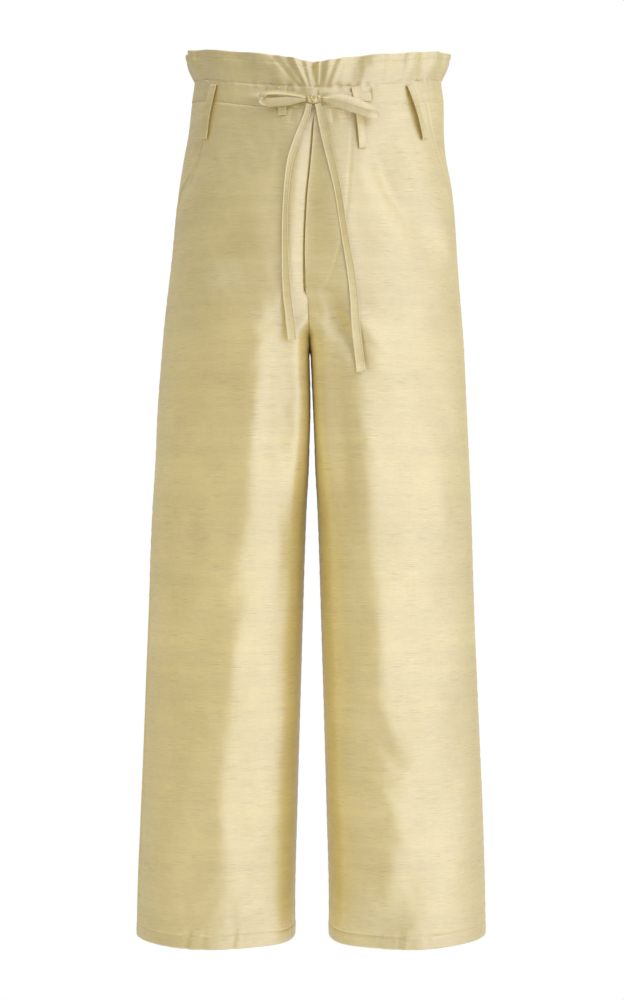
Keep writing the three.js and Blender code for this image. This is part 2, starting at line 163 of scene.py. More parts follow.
# %% [markdown]
# ## From the pattern to a place on the cloth
#
# Each panel is half of an oval tube. An angle of zero is the side seam; the far end is the
# centre seam on the body and the inseam on a leg. The cloth could be draped by a simulation,
# but a worn pair of trousers keeps a steady shape, so its large folds are a short list of soft
# ridges and troughs laid on the tube, and every smaller crease is added to the same sum.

# %% Large folds
FOLDS = {  # X and Z of both ends, half-width and depth
    FRONT: (
        (10, -244, 88, -326, 15, 4.5), (4, -262, 62, -338, 12, -4), (78, -92, 118, -165, 22, -4),
        (118, -165, 150, -215, 20, -3), (-128, -60, -150, -125, 14, -3.5),
        (-62, -290, -72, -466, 20, 4), (-72, -466, -98, -628, 20, 4),
        (-98, -628, -93, -720, 20, 4), (-93, -720, -118, -926, 20, 4), (46, -350, 66, -560, 18, 4),
        (66, -560, 77, -720, 18, 4), (77, -720, 98, -770, 18, 3), (72, -812, 98, -890, 18, 3),
        (98, -890, 74, -980, 18, 3),
    ),
    BACK: (
        (-6, -240, -78, -330, 20, 5), (-4, -240, 74, -336, 20, 5), (-70, -110, -130, -180, 22, -4),
        (72, -104, 128, -186, 22, -4), (-104, -390, -112, -760, 30, 3),
        (100, -360, 110, -720, 30, 3),
    ),
}


def near_segment(x, z, x0, z0, x1, z1):
    """How far along a straight step places are, from 0 to 1, and how far away from it."""
    run_x, run_z = x1 - x0, z1 - z0
    t = np.clip(((x - x0) * run_x + (z - z0) * run_z) / (run_x**2 + run_z**2), 0, 1)
    return t, np.hypot(x - x0 - t * run_x, z - z0 - t * run_z)


def fold_height(face, x, z):
    """The sum of the large folds at places on the front or back."""
    height = np.zeros(np.broadcast(x, z).shape)
    for *ends, half_width, depth in FOLDS[face]:
        t, away = near_segment(x, z, *ends)
        height += depth * bell(away, half_width) * (0.35 + 0.65 * np.sin(np.pi * t))
    return height


print("large folds:", sum(map(len, FOLDS.values())))

# %% [markdown]
# Creases are finer than folds. Each is a bowed line with a half-width and a depth in
# millimetres: a minus depth is a trough. They sit where worn trousers crease: across the top of
# the thigh, from the crotch, over the hips and down the legs. The hidden back has its own.

# %% Creases placed one by one
CREASES = {  # X and Z of both ends, bow, half-width and depth
    FRONT: (
        (-12, -60, -22, -236, 2, 7, 1.2), (-34, -60, -42, -150, 2, 7, -1.3),
        (30, -150, 44, -290, 0, 13, 1.4), (76, -96, 116, -168, 3, 13, -2.2),
        (118, -160, 152, -218, -4, 15, -1.8), (4, -262, 60, -336, -3, 8, -2.4),
        (40, -296, 88, -338, 0, 7, 1.4), (-8, -40, -10, -58, 0, 2.2, -1),
        (-15, -39, -18, -60, 1, 2.6, 0.8), (-22, -38, -27, -56, 1, 2.4, -0.9),
        (-30, -37, -36, -54, 1, 3, 0.7), (20, -38, 24, -58, 0, 2.4, -0.9),
        (27, -38, 32, -56, 0, 2.6, 0.8), (35, -37, 41, -55, 0, 2.6, -0.8),
        (3, -250, 15, -282, 0, 4.5, 2), (9, -246, 38, -294, 0, 6.5, -3.4),
        (34, -290, 100, -346, -2, 9, -2.6), (30, -262, 96, -322, 4, 9, 1.6),
        (72, -78, 108, -158, 6, 8, -1.6), (104, -150, 160, -204, -6, 8, -1.5),
        (58, -70, 66, -150, 4, 9, 1), (96, -60, 140, -130, 8, 10, 1),
        (-134, -52, -150, -128, -3, 2.4, -1.3), (-126, -58, -141, -126, -3, 4, 0.8),
        (-96, -52, -104, -150, -5, 12, -1.2), (-58, -60, -66, -210, 4, 12, 1.1),
        (-40, -150, -48, -262, -3, 9, -1.3), (-14, -252, -60, -306, 5, 7, -1.4),
        (-20, -262, -84, -352, 6, 9, 1.3), (-120, -220, -150, -300, 8, 14, -1.4),
        (120, -230, 152, -318, -8, 14, -1.2), (-48, -330, -54, -470, 3, 8, -1.4),
        (-30, -480, -40, -640, -4, 9, -1.3), (-120, -420, -150, -560, 9, 15, -1.6),
        (-84, -575, -118, -655, -8, 12, -1.5), (-66, -640, -88, -760, 6, 12, -1.4),
        (-124, -700, -96, -800, 8, 14, 1.6), (-150, -800, -120, -900, -8, 14, -1.5),
        (-88, -840, -60, -960, 6, 12, -1.5), (-150, -930, -138, -1004, 3, 6, -1),
        (-92, -950, -88, -1004, 2, 5, -1.1), (28, -360, 36, -520, -4, 9, -1.4),
        (92, -360, 100, -520, 6, 14, -1.3), (132, -380, 146, -560, -8, 14, 1.3),
        (40, -560, 52, -700, 5, 10, 1.3), (110, -560, 126, -720, 8, 14, -1.4),
        (64, -742, 112, -806, 5, 11, -2.2), (58, -800, 84, -846, -4, 10, 1.6),
        (70, -836, 106, -900, 5, 12, -2), (130, -780, 150, -930, 9, 15, -1.4),
        (56, -906, 84, -990, -5, 11, 1.4), (-149, -1020, -144, -982, 1, 2.6, -1.9),
        (-143, -1020, -138, -984, 1, 2.6, 1.2), (-129, -1020, -125, -980, 0, 2.4, -1.5),
        (-94, -1020, -88, -982, -1, 2.4, -1.5), (-89, -1020, -83, -982, -1, 2.6, 1),
        (74, -1020, 77, -982, 0, 2.4, -1.6), (80, -1020, 83, -980, 0, 2.4, 1),
        (96, -1020, 101, -984, 1, 2.4, -1.5), (102, -1020, 107, -984, 1, 2.6, 1),
        (134, -1020, 131, -984, 0, 2.4, -1.3),
    ),
    BACK: (
        (-4, -236, -70, -318, -6, 6, -1.8), (-2, -232, 66, -316, 6, 6, -1.8),
        (-10, -262, -98, -352, -8, 9, 1.6), (6, -260, 92, -356, 8, 9, 1.6),
        (-40, -60, -52, -150, 4, 10, -1.3), (44, -60, 50, -156, -4, 10, -1.3),
        (-112, -70, -132, -170, 6, 12, 1.2), (116, -64, 138, -176, -6, 12, 1.2),
        (-60, -320, -72, -470, 6, 10, -1.5), (-128, -340, -140, -480, -6, 13, 1.3),
        (-80, -470, -128, -560, 8, 11, -1.7), (-66, -520, -118, -606, 8, 10, 1.3),
        (-140, -620, -110, -760, 9, 15, -1.4), (-76, -760, -100, -920, -8, 14, 1.4),
        (-112, -950, -108, -1004, 2, 6, -1), (52, -330, 66, -480, -6, 10, -1.5),
        (124, -350, 140, -500, 8, 13, 1.3), (74, -478, 122, -566, -8, 11, -1.7),
        (60, -528, 112, -612, -8, 10, 1.3), (138, -640, 112, -776, -9, 15, -1.4),
        (72, -742, 96, -910, 8, 14, 1.4), (118, -948, 114, -1004, 2, 6, -1),
        (-130, -1020, -124, -978, 1, 2.6, -1.6), (-78, -1020, -84, -974, -1, 2.6, -1.6),
        (92, -1020, 97, -978, 1, 2.6, -1.6), (140, -1020, 136, -982, 0, 2.4, -1.3),
    ),
}


def crease_height(face, x, z):
    """The sum of the creases at places on the front or back."""
    height = np.zeros(np.broadcast(x, z).shape)
    for x0, z0, x1, z1, bow, half_width, depth in CREASES[face]:
        run_x, run_z = x1 - x0, z1 - z0
        length = math.hypot(run_x, run_z)
        t = ((x - x0) * run_x + (z - z0) * run_z) / length**2
        inside = np.clip(t, 0, 1)
        across = ((x - x0) * run_z - (z - z0) * run_x) / length
        ends = plateau(t, -0.15, 0.35, 0.65, 1.15)
        height += depth * bell(across - bow * 4 * inside * (1 - inside), half_width) * ends
    return height


print("creases:", sum(map(len, CREASES.values())))

# %% [markdown]
# Between the creases silk is never quite flat. A few slow waves of fixed lengths crossing each
# other give it a soft, uneven surface, which breaks the sheen into patches. The wave numbers
# come from a seeded generator, so each run gives the same cloth.

# %% Slow waves in the cloth
WAVES = np.random.default_rng(11)


def wave_set(count, across, along, height):
    """Waves with lengths in the given ranges of millimetres and heights that share one sum."""
    kx = 2 * np.pi / WAVES.uniform(*across, count) * WAVES.choice((-1, 1), count)
    kz = 2 * np.pi / WAVES.uniform(*along, count)
    phase = WAVES.uniform(0, 2 * np.pi, (2, count))
    return kx, kz, phase, height / math.sqrt(count)


SLOW = wave_set(10, (70, 170), (110, 330), 0.9)
SHORT = wave_set(16, (18, 46), (26, 70), 0.1)


def wave_height(face, x, z):
    """The sum of the waves at places on the front or back, each with its own phases."""
    total = np.zeros(np.broadcast(x, z).shape)
    for kx, kz, phase, height in (SLOW, SHORT):
        for k in range(len(kx)):
            total += height * np.sin(kx[k] * x + kz[k] * z + phase[int(face == BACK), k])
    return total


# %% A place on the cloth
LAP_HEIGHT, LAP_WIDTH, LAP_OVER = 1.9, 72, 2.5  # LAP_OVER is past the centre
FLY_BOTTOM = -250
FLY_STITCH = np.array([  # X and Z along the J
    (46, -44), (43.6, -88), (41.3, -120), (39, -153), (32, -193), (25, -220), (16, -243),
    (9.8, -248.5), (-5, -248.8),
])
LEGS_PART = 0.9  # millimetres that each leg draws back below the crotch
INNER_SQUARE = 0.75  # how much squarer a leg's front is towards the inseam
SQUARE_ANGLES = (1.8, 2.6)  # radians from the side seam that it squares up between
GUTTER, GROOVE = 1.7, 0.55  # depths beside the lap's edge and under the fly's stitches


def side_arc(side, face, z):
    """Centre plane, radius, middle, sweep and lean of one panel's oval at a level."""
    z = np.asarray(z, float)
    centre = section(z, "centre")
    outer = np.abs(section(z, SIDE_NAME[side] + "_edge") - centre)
    gap = section(z, "half_gap")
    inner = gap - HALF_SEAM - SEAM_LAP * (gap < 0.2)
    inner = inner + LEGS_PART * plateau(-z, 306, 322, 400, 470)
    start = CROTCH_START[face]
    t = np.clip((start - z) / (start - CROTCH), 0, 1)
    sweep = np.pi / 2 * (1 + t**1.5)
    if side == LEFT and face == FRONT:
        along_fly = smoothstep(-z, 40, 50) * smoothstep(z, FLY_BOTTOM - 10, FLY_BOTTOM)
        inner = inner - LAP_OVER * along_fly
    radius = (outer - inner) / (1 - np.cos(sweep))
    nose = section(z, SIDE_NAME[side] + "_nose") if face == FRONT else 0
    lean = np.radians(nose) * (sweep / (np.pi / 2) - 1)
    return centre, radius, outer - radius, sweep, lean


def line_distance(x, z, line):
    """How far places are from a line of short straight steps."""
    steps = zip(line[:-1], line[1:])
    return np.min([near_segment(x, z, *start, *end)[1] for start, end in steps], axis=0)


def fly_height(side, face, x, z):
    """The lap over the fly and its stitched groove, less the valley the centre sinks into."""
    if face != FRONT:
        return 0
    down = -z
    across = x - section(z, "centre")
    on_fly = smoothstep(z, FLY_BOTTOM - 8, FLY_BOTTOM + 6)
    lap = LAP_HEIGHT * (1 - smoothstep(across, 6, LAP_WIDTH)) * on_fly
    gutter = GUTTER * bell(across + LAP_OVER, 2.2) * on_fly * smoothstep(down, 42, 60)
    groove = GROOVE * bell(line_distance(x, z, FLY_STITCH), 1.7) * (side == LEFT)
    to_left = 12 + 22 * smoothstep(down, 60, 250)
    to_right = 11 + 6 * smoothstep(down, 60, 180)
    depth = (4.5 + 4 * smoothstep(down, 60, 190)) * plateau(down, 40, 68, 205, 262)
    valley = depth * bell(across, np.where(across < 0, to_right, to_left))
    return (np.where(side == LEFT, lap, -gutter) - groove - valley) * (z < CASING_BOTTOM)


def round_depth(angle, lean, square):
    """How deep the oval is at an angle, from 0 at the side seam to 1 at its front or back."""
    sine = np.sin(angle - lean * np.sin(angle))
    return np.sign(sine) * np.abs(sine) ** (1 - square * smoothstep(angle, *SQUARE_ANGLES))


def cloth_point(side, face, angle, z, out=0, fine=True):
    """Points of the cloth's outer face in millimetres, and the way each one faces."""
    angle, z = np.broadcast_arrays(np.asarray(angle, float), np.asarray(z, float))
    centre, radius, middle, sweep, lean = side_arc(side, face, z)
    depth = section(z, FACE_NAME[face])
    x = centre + side * (middle + radius * np.cos(angle))
    square = INNER_SQUARE * smoothstep(-z, 215, 285) * (1 - 0.6 * smoothstep(-z, 380, 560))
    square = square * (face == FRONT)
    y = face * depth * round_depth(angle, lean, square)
    step = 1e-3
    change = round_depth(angle + step, lean, square) - round_depth(angle - step, lean, square)
    normal_x = side * depth * change / (2 * step)
    normal_y = face * radius * np.sin(angle)
    size = np.hypot(normal_x, normal_y)
    at_seam = np.minimum(1, 1.6 * np.sin(np.pi * np.clip(angle / sweep, 0, 1)))
    raised = out + fold_height(face, x, z) * at_seam + fly_height(side, face, x, z)
    if fine:
        below_band = 1 - smoothstep(z, -70, -38)
        raised = raised + crease_height(face, x, z) * (0.25 + 0.75 * at_seam)
        raised = raised + wave_height(face, x, z) * at_seam * (0.3 + 0.7 * below_band)
    normal = np.stack([normal_x / size, normal_y / size, np.zeros_like(size)], -1)
    point = np.stack([x, y, z], -1) + normal * np.asarray(raised)[..., None]
    return point, normal


def beside_point(face, x, z, off=0, fine=True):
    """Points beside the front or back at given X and Z, standing off the cloth."""
    x, z = np.broadcast_arrays(np.asarray(x, float), np.asarray(z, float))
    points = np.zeros(x.shape + (3,))
    normals = np.zeros(x.shape + (3,))
    for side in (RIGHT, LEFT):
        mine = (x < section(z, "centre")) == (side == RIGHT)
        centre, radius, middle, sweep, lean = side_arc(side, face, z)
        cosine = (np.abs(x - centre) - middle) / radius
        angle = np.arccos(np.clip(cosine, np.cos(sweep), 1))
        p, n = cloth_point(side, face, angle, z, off, fine)
        points[mine], normals[mine] = p[mine], n[mine]
    return points, normals


FRONT_DROP, BACK_RISE, DROP_FADES_OUT = 23, 5, -185


def waist_tilt(face, angle, level):
    """How far the waist has dropped or risen at an angle from the side seam."""
    most = -FRONT_DROP if face == FRONT else BACK_RISE
    lift = most * np.sin(np.minimum(angle, np.pi / 2)) ** 2
    return lift * smoothstep(level, DROP_FADES_OUT, CASING_BOTTOM)


print("front of the hip in mm:", beside_point(FRONT, 60.0, -150.0)[0].round(1))

# %% [markdown]
# ## A grid that becomes cloth
#
# Every cloth piece starts as Blender's flat grid. Each vertex of the grid is moved to its place
# on the garment, and the grid's own map is rewritten so that it holds the cut cloth laid flat,
# in metres. The weave follows that map. A Solidify modifier then gives the cloth its thickness.

# %% Grid helper
CLOTH = 0.7  # thickness of one layer, in millimetres
CUTS = {}  # width, length and area of each piece laid flat, in metres


def add_shape(operator, name, **settings):
    """Adds one of Blender's own shapes on its own, and names it."""
    bpy.ops.object.select_all(action="DESELECT")
    operator(**settings)
    piece = bpy.context.object
    piece.name = piece.data.name = name
    return piece


def run_lengths(points, power=1.0):
    """How far along a line each of its points is. A power under 1 evens out the steps."""
    steps = np.linalg.norm(np.diff(points, axis=0), axis=1) ** power
    return np.concatenate([[0], np.cumsum(steps)])


def cut_map(points):
    """The cloth laid flat: lengths across from the middle column, and down the middle."""
    middle = points.shape[1] // 2
    u = np.stack([run_lengths(row) for row in points])
    u -= u[:, middle][:, None]
    v = run_lengths(points[:, middle])
    return np.stack([u, np.broadcast_to(v[:, None], u.shape)], -1)


def write_cut(mesh, laid):
    """Writes each vertex's place on the cut cloth, in millimetres, into the mesh's map."""
    corners = np.empty(len(mesh.loops), int)
    mesh.loops.foreach_get("vertex_index", corners)
    layer = mesh.uv_layers[0]
    layer.name = "cut"
    layer.data.foreach_set("uv", (laid * MM)[corners].ravel())


def cloth_grid(name, columns, rows, shape, inside, outer=0.5):
    """A grid moved into shape. u and v run from 0 to 1; inside is a point behind the cloth,
    seen from the row that is outer of the way up."""
    piece = add_shape(
        bpy.ops.mesh.primitive_grid_add, name, x_subdivisions=columns, y_subdivisions=rows, size=2
    )
    mesh = piece.data
    flat = np.empty(len(mesh.vertices) * 3)
    mesh.vertices.foreach_get("co", flat)
    u, v = (flat.reshape(-1, 3)[:, :2].T + 1) / 2
    points = shape(u, v)
    mesh.vertices.foreach_set("co", (points * MM).ravel())
    laid = cut_map(points.reshape(rows + 1, columns + 1, 3))
    write_cut(mesh, laid.reshape(-1, 2))
    wide = np.ptp(laid[..., 0], axis=1) * MM
    long = laid[:, 0, 1] * MM
    area = np.sum((wide[1:] + wide[:-1]) / 2 * np.abs(np.diff(long)))
    CUTS[name] = [round(float(x), 3) for x in (wide.max(), np.ptp(long), area)]
    mesh.update()
    middle = mesh.polygons[int(rows * outer) * columns + columns // 2]
    if middle.normal.dot(middle.center - Vector(inside) * MM) < 0:
        mesh.flip_normals()
    return piece


def apply_modifier(piece, kind, **settings):
    """Adds a modifier with its settings, and applies it."""
    bpy.context.view_layer.objects.active = piece
    modifier = piece.modifiers.new(kind.lower(), kind)
    for key, value in settings.items():
        setattr(modifier, key, value)
    bpy.ops.object.modifier_apply(modifier=modifier.name)


def finish_piece(piece, nodes, material, smooth=60):
    """Shades a piece, gives it its material, hangs it from the root and hides the parts it
    replaces.
    """
    bpy.ops.object.select_all(action="DESELECT")
    piece.select_set(True)
    bpy.context.view_layer.objects.active = piece
    bpy.ops.object.shade_smooth_by_angle(angle=math.radians(smooth))
    piece.data.materials.clear()
    piece.data.materials.append(material)
    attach(piece, "root")
    if nodes:
        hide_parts(*nodes)
    print(piece.name, len(piece.data.polygons), "faces")
    return piece

# %% [markdown]
# ## The silk
#
# Slubbed silk is woven from uneven thread. Thick places in the weft show as fine level streaks,
# some paler and some darker than the ground, and the warp only just shows. A picture could be
# mapped on, but nodes that read the cut map keep the weave true to the cloth wherever it bends.
# Stretched noise gives the slubs, so one long step of the map is across and one short is down.

# %% Node helper
def empty_tree(owner):
    """The node tree of a new material or world, with nothing in it."""
    owner.use_nodes = True
    owner.node_tree.nodes.clear()
    return owner.node_tree


def node(tree, kind, inputs=(), **settings):
    """Adds a node, sets its properties, and joins or fills its inputs by name or number."""
    made = tree.nodes.new(kind)
    for key, value in settings.items():
        setattr(made, key, value)
    for key, value in dict(inputs).items():
        if isinstance(value, bpy.types.NodeSocket):
            tree.links.new(value, made.inputs[key])
        else:
            made.inputs[key].default_value = value
    return made


def streaks(tree, cloth_map, across, down, detail, seed):
    """Noise whose cells are across by down millimetres on the cut cloth."""
    scaled = node(
        tree, "ShaderNodeMapping", {"Vector": cloth_map, "Location": (seed, seed * 0.7, 0),
                                    "Scale": (1000 / across, 1000 / down, 1)}
    )
    noise = node(
        tree, "ShaderNodeTexNoise",
        {"Vector": scaled.outputs[0], "Scale": 1, "Detail": detail, "Roughness": 0.55},
        noise_dimensions="2D",
    )
    return noise.outputs["Fac"]


def ramp(tree, value, low, high, to_low, to_high):
    """Moves a range of values onto another, held at its ends."""
    return node(
        tree, "ShaderNodeMapRange",
        {"Value": value, "From Min": low, "From Max": high, "To Min": to_low, "To Max": to_high},
    ).outputs[0]


def multiply(tree, a, b):
    return node(tree, "ShaderNodeMath", {0: a, 1: b}, operation="MULTIPLY").outputs[0]


def add(tree, a, b):
    return node(tree, "ShaderNodeMath", {0: a, 1: b}, operation="ADD").outputs[0]


# %% Silk material
SILK_GROUND, SILK_DEEP = (0.62, 0.485, 0.158), (0.60, 0.462, 0.142)
SHEEN = 0.05
SILK_IOR = 3.4  # far above glass, because silk's smooth threads mirror strongly


def silk(name, slub=1.0):
    """Slubbed silk that reads the cut map, in metres. slub is how strong the streaks are."""
    material = bpy.data.materials.new(name)
    tree = empty_tree(material)
    cut = node(tree, "ShaderNodeUVMap", uv_map="cut").outputs[0]
    broad = streaks(tree, cut, 90, 70, 3, 3.1)
    bands = streaks(tree, cut, 260, 9, 2, 7.7)
    thick = streaks(tree, cut, 20, 1.0, 2, 13.3)
    thread = streaks(tree, cut, 7, 0.8, 1, 19.9)
    warp = streaks(tree, cut, 1.1, 45, 1, 27.1)
    clusters = ramp(tree, streaks(tree, cut, 42, 24, 2, 41.7), 0.35, 0.65, 0.45, 1.35)
    light = add(tree, ramp(tree, thick, 0.56, 0.78, 0, 0.11 * slub),
                ramp(tree, thick, 0.22, 0.44, -0.22 * slub, 0))
    light = multiply(tree, light, clusters)
    for noise, most in ((thread, 0.05 * slub), (bands, 0.035), (warp, 0.02), (broad, 0.04)):
        light = add(tree, light, ramp(tree, noise, 0.3, 0.7, -most, most))
    light = add(tree, light, 1.0)
    patches = ramp(tree, broad, 0.35, 0.65, 0.0, 1.0)
    colour = node(
        tree, "ShaderNodeMix", {0: patches, 6: (*SILK_DEEP, 1), 7: (*SILK_GROUND, 1)},
        data_type="RGBA",
    )
    shade = node(
        tree, "ShaderNodeVectorMath", {0: colour.outputs[2], "Scale": light}, operation="SCALE"
    )
    height = add(tree, multiply(tree, thick, 0.7), multiply(tree, thread, 0.5))
    bump = node(tree, "ShaderNodeBump", {"Strength": 0.22, "Distance": 0.0004, "Height": height})
    surface = node(
        tree, "ShaderNodeBsdfPrincipled",
        {"Base Color": shade.outputs[0], "Roughness": ramp(tree, thick, 0.3, 0.7, 0.46, 0.38),
         "Normal": bump.outputs[0], "IOR": SILK_IOR,
         "Sheen Weight": SHEEN, "Sheen Roughness": 0.4},
    )
    node(tree, "ShaderNodeOutputMaterial", {"Surface": surface.outputs[0]})
    print(name, "has", len(tree.nodes), "nodes")
    return material


silk_panel = silk("silk")
silk_band = silk("silk_band", slub=0.9)
silk_tape = silk("silk_tape", slub=0.8)

# %% [markdown]
# ## The leg panels
#
# Two fronts and two backs hang from the casing to a hem that is really turned up inside. The
# side seams swing forward over the hips and sit a little in front of the edge low on the right
# leg, so the meeting line of front and back is a table too. Seam edges roll in, with the small
# puckers that thread pulls into silk.

# %% Where the side seams run
SEAM_LEVELS = (-1007, -960, -640, -500, -304, -202, -142, -118, -100, -86, -60, -15)
SEAM_TURN = {
    RIGHT: (0.28, 0.30, 0.28, 0.12, 0.06, 0.08, 0.18, 0.29, 0.41, 0.48, 0.53, 0.54),
    LEFT: (0.05, 0.05, 0.05, 0.05, 0.10, 0.18, 0.23, 0.28, 0.32, 0.37, 0.45, 0.57),
}


def seam_turn(side, level):
    """How far the side seam sits round on the front, in radians."""
    return np.interp(level, SEAM_LEVELS, SEAM_TURN[side])


# %% One leg panel
PANEL_COLUMNS, PANEL_ROWS = 124, 340
HEM_DEPTH = 15
SEAM_ARC = 100  # millimetres of cloth for one radian beside a seam
ROW_KNOTS = (0, 12, 298, 324, 326, 328, 330, 340)
ROW_LEVELS = (
    CASING_BOTTOM + 1.5, -30, HEM + 24, HEM + 0.7, HEM + 0.1, HEM + 0.1, HEM + 0.8,
    HEM + HEM_DEPTH,
)
ROW_INSETS = (0, 0, 0, 0, -0.5, -1.1, -1.6, -1.7)
TUCK_UNDER_BAND = {RIGHT: 0.8, LEFT: 0.55}
LEG_MIDDLE, LEG_MIDDLE_LEVEL = 95, -500  # a point inside a leg
PUCKER, INSEAM_PUCKER = 0.16, 0.14
HIP_ROLL, HIP_PUCKER = {RIGHT: 0.3, LEFT: -0.7}, {RIGHT: 0.1, LEFT: -0.1}  # added at the hips
LOW_LEG_ROLL, LOW_LEG_PUCKER = 1.5, 0.14  # added low on the right leg's side seam


def seam_relief(distance, level, pucker, roll=1.0):
    """The rolled edge of a seam, at a distance from it, and the puckers along it."""
    roll = roll * (0.35 * bell(distance - 4, 3) - bell(distance, 1.6))
    ripple = np.sin(level / 2.1) + 0.7 * np.sin(level / 3.3 + 1) + 0.5 * np.sin(level / 1.37 + 2)
    return roll + pucker * ripple * bell(distance, 7)


def hem_relief(level):
    """The turned hem: a stitched groove at its top and a slight swell below it."""
    above = level - HEM - HEM_DEPTH
    groove = -0.45 * bell(above, 1.1)
    return groove + 0.35 * smoothstep(-above, 0, 3)


def panel_surface(side, face, u, v):
    """Points of a leg panel: u goes from the side seam inwards, and v down to the hem, round
    its fold and up inside."""
    row = v * PANEL_ROWS
    level = np.interp(row, ROW_KNOTS, ROW_LEVELS)
    inset = np.interp(row, ROW_KNOTS, ROW_INSETS)
    even = u - 0.5 * np.sin(2 * np.pi * u) / (2 * np.pi)
    turn = seam_turn(side, level)
    start = turn if face == FRONT else -turn
    sweep = side_arc(side, face, level)[3]
    angle = start + (sweep - start) * even
    outseam = (angle - start) * SEAM_ARC
    inseam = (sweep - angle) * SEAM_ARC
    hips = smoothstep(level, -220, -120)
    low_leg = smoothstep(-level, 420, 640) * (side == RIGHT)
    roll = 1 + hips * HIP_ROLL[side] + LOW_LEG_ROLL * low_leg
    pucker = PUCKER + hips * HIP_PUCKER[side] + LOW_LEG_PUCKER * low_leg
    relief = seam_relief(outseam, level, pucker, roll)
    on_leg = smoothstep(-level, -CROTCH - 40, -CROTCH)
    flat = (1 - on_leg) * (1 if face == FRONT else smoothstep(-level, 120, 190))
    relief = relief + seam_relief(inseam, level, INSEAM_PUCKER) * (1 - 0.95 * flat)
    tucked = smoothstep(level, CASING_BOTTOM - 1.6, CASING_BOTTOM + 0.2)
    relief = relief + hem_relief(level) + inset - TUCK_UNDER_BAND[side] * tucked
    point = np.zeros(u.shape + (3,))
    for part_face, mine in ((face, angle >= 0), (-face, angle < 0)):
        turned = np.maximum(angle if part_face == face else -angle, 0)
        z = level + waist_tilt(part_face, turned, level)
        p, _ = cloth_point(side, part_face, turned, z, relief)
        point[mine] = p[mine]
    return point


def panel(side, face):
    """One leg panel, as a thin shell."""
    name = f"{SIDE_NAME[side]}_{FACE_NAME[face]}"
    piece = cloth_grid(
        "silk_" + name, PANEL_COLUMNS, PANEL_ROWS,
        lambda u, v: panel_surface(side, face, u, 1 - v),
        (side * LEG_MIDDLE, 0, LEG_MIDDLE_LEVEL),
    )
    apply_modifier(piece, "SOLIDIFY", thickness=CLOTH * MM, offset=-1, use_even_offset=True)
    return finish_piece(piece, [name], silk_panel)


panels = {(side, face): panel(side, face) for side in (RIGHT, LEFT) for face in (FRONT, BACK)}

# %% [markdown]
# ## The waistband
#
# One long strip is folded over at the top and stitched twice: once near the edge, and once lower
# down to close the casing that the drawstring runs in. Above the casing the strip stands up as a
# heading, and the drawn cord crowds it into small pleats. The pleats are a table of angles
# round the waist: each has its place at the casing and at the top, because they fan out.

# %% Pleats of the heading
PLEATS = (  # degrees at the casing and at the top, half-width and depth
    (8, 7, 5, 3), (18, 17, 5, -3), (29, 28, 5, 3), (37, 37, 4.5, -3.5), (46, 44, 5, 3),
    (56, 54, 5.5, -2.5), (67, 64, 5.5, 3), (76, 73, 4.5, -3.5), (83, 82, 4, 3),
    (92, 94.5, 3.6, -5), (95.5, 102, 4.4, 4), (97.5, 106, 4.4, -3), (106, 119, 6, 2.5),
    (121, 127, 6, -2), (139, 139, 8, 2), (153, 157, 5, -4), (162, 165, 5, 3.5), (173, 175, 5, -3),
    (186, 186, 5, 3.5), (197, 198, 5, -3.5), (210, 208, 5.5, 3), (222, 221, 5, -3),
    (233, 234, 5, 3.5), (245, 244, 5, -3.5), (256, 257, 5, 3), (267, 266, 4.6, -4),
    (278, 279, 5, 3.5), (289, 288, 5, -3), (301, 302, 5.5, 3), (313, 312, 5, -3.5),
    (325, 326, 5, 3), (337, 336, 5, -3), (349, 349, 5, 3),
)
FINE_PLEATS = (
    (91.6, 92.4, 0.8, -4), (90.3, 90.2, 0.8, 1.6), (88.8, 88.2, 0.8, -1), (87.4, 85.8, 0.9, 1.3),
    (86, 82.6, 1.1, -2.2), (84.2, 79.6, 1.1, 1), (93.2, 95.6, 0.8, 1.6), (94.2, 98.2, 0.8, -2),
    (95.2, 101, 0.9, 1.6), (96.4, 104.2, 0.9, -1.5), (97.6, 107.4, 1, 1.2), (99, 111, 1.1, -0.8),
    (80.5, 77, 1.2, 0.8), (72, 71, 1.5, -0.8), (61, 60, 1.6, 0.9), (50, 49, 1.4, -0.9),
    (24, 23, 1.4, -0.9), (13, 12.5, 1.3, 0.8), (130, 131, 1.6, -0.9), (146, 147, 1.5, 0.8),
    (158, 160.5, 1.4, -1.3), (168, 170, 1.4, -1.1), (180, 181, 1.4, 0.9), (192, 192, 1.4, -1),
    (204, 203, 1.5, 0.9), (216, 216.5, 1.4, -1), (239, 239, 1.4, 0.9), (251, 250.5, 1.4, -1),
    (262, 262.5, 1.3, 0.9), (273, 273, 1.3, -1.1), (284, 284.5, 1.4, 0.9), (295, 294.5, 1.4, -1),
    (307, 307, 1.5, 0.9), (319, 319.5, 1.4, -1), (331, 331, 1.4, 0.8), (343, 342.5, 1.4, -1),
)


def pleat_height(turn, t, table):
    """The sum of the pleats round the waist, at t of the way up the heading."""
    height = np.zeros(np.broadcast(turn, t).shape)
    for at_casing, at_top, half_width, depth in table:
        width = half_width * (0.75 + 0.35 * t)
        height += depth * bell(turn - (at_casing + (at_top - at_casing) * t), width)
    return height * (0.25 + 0.75 * t) * (t > 0)


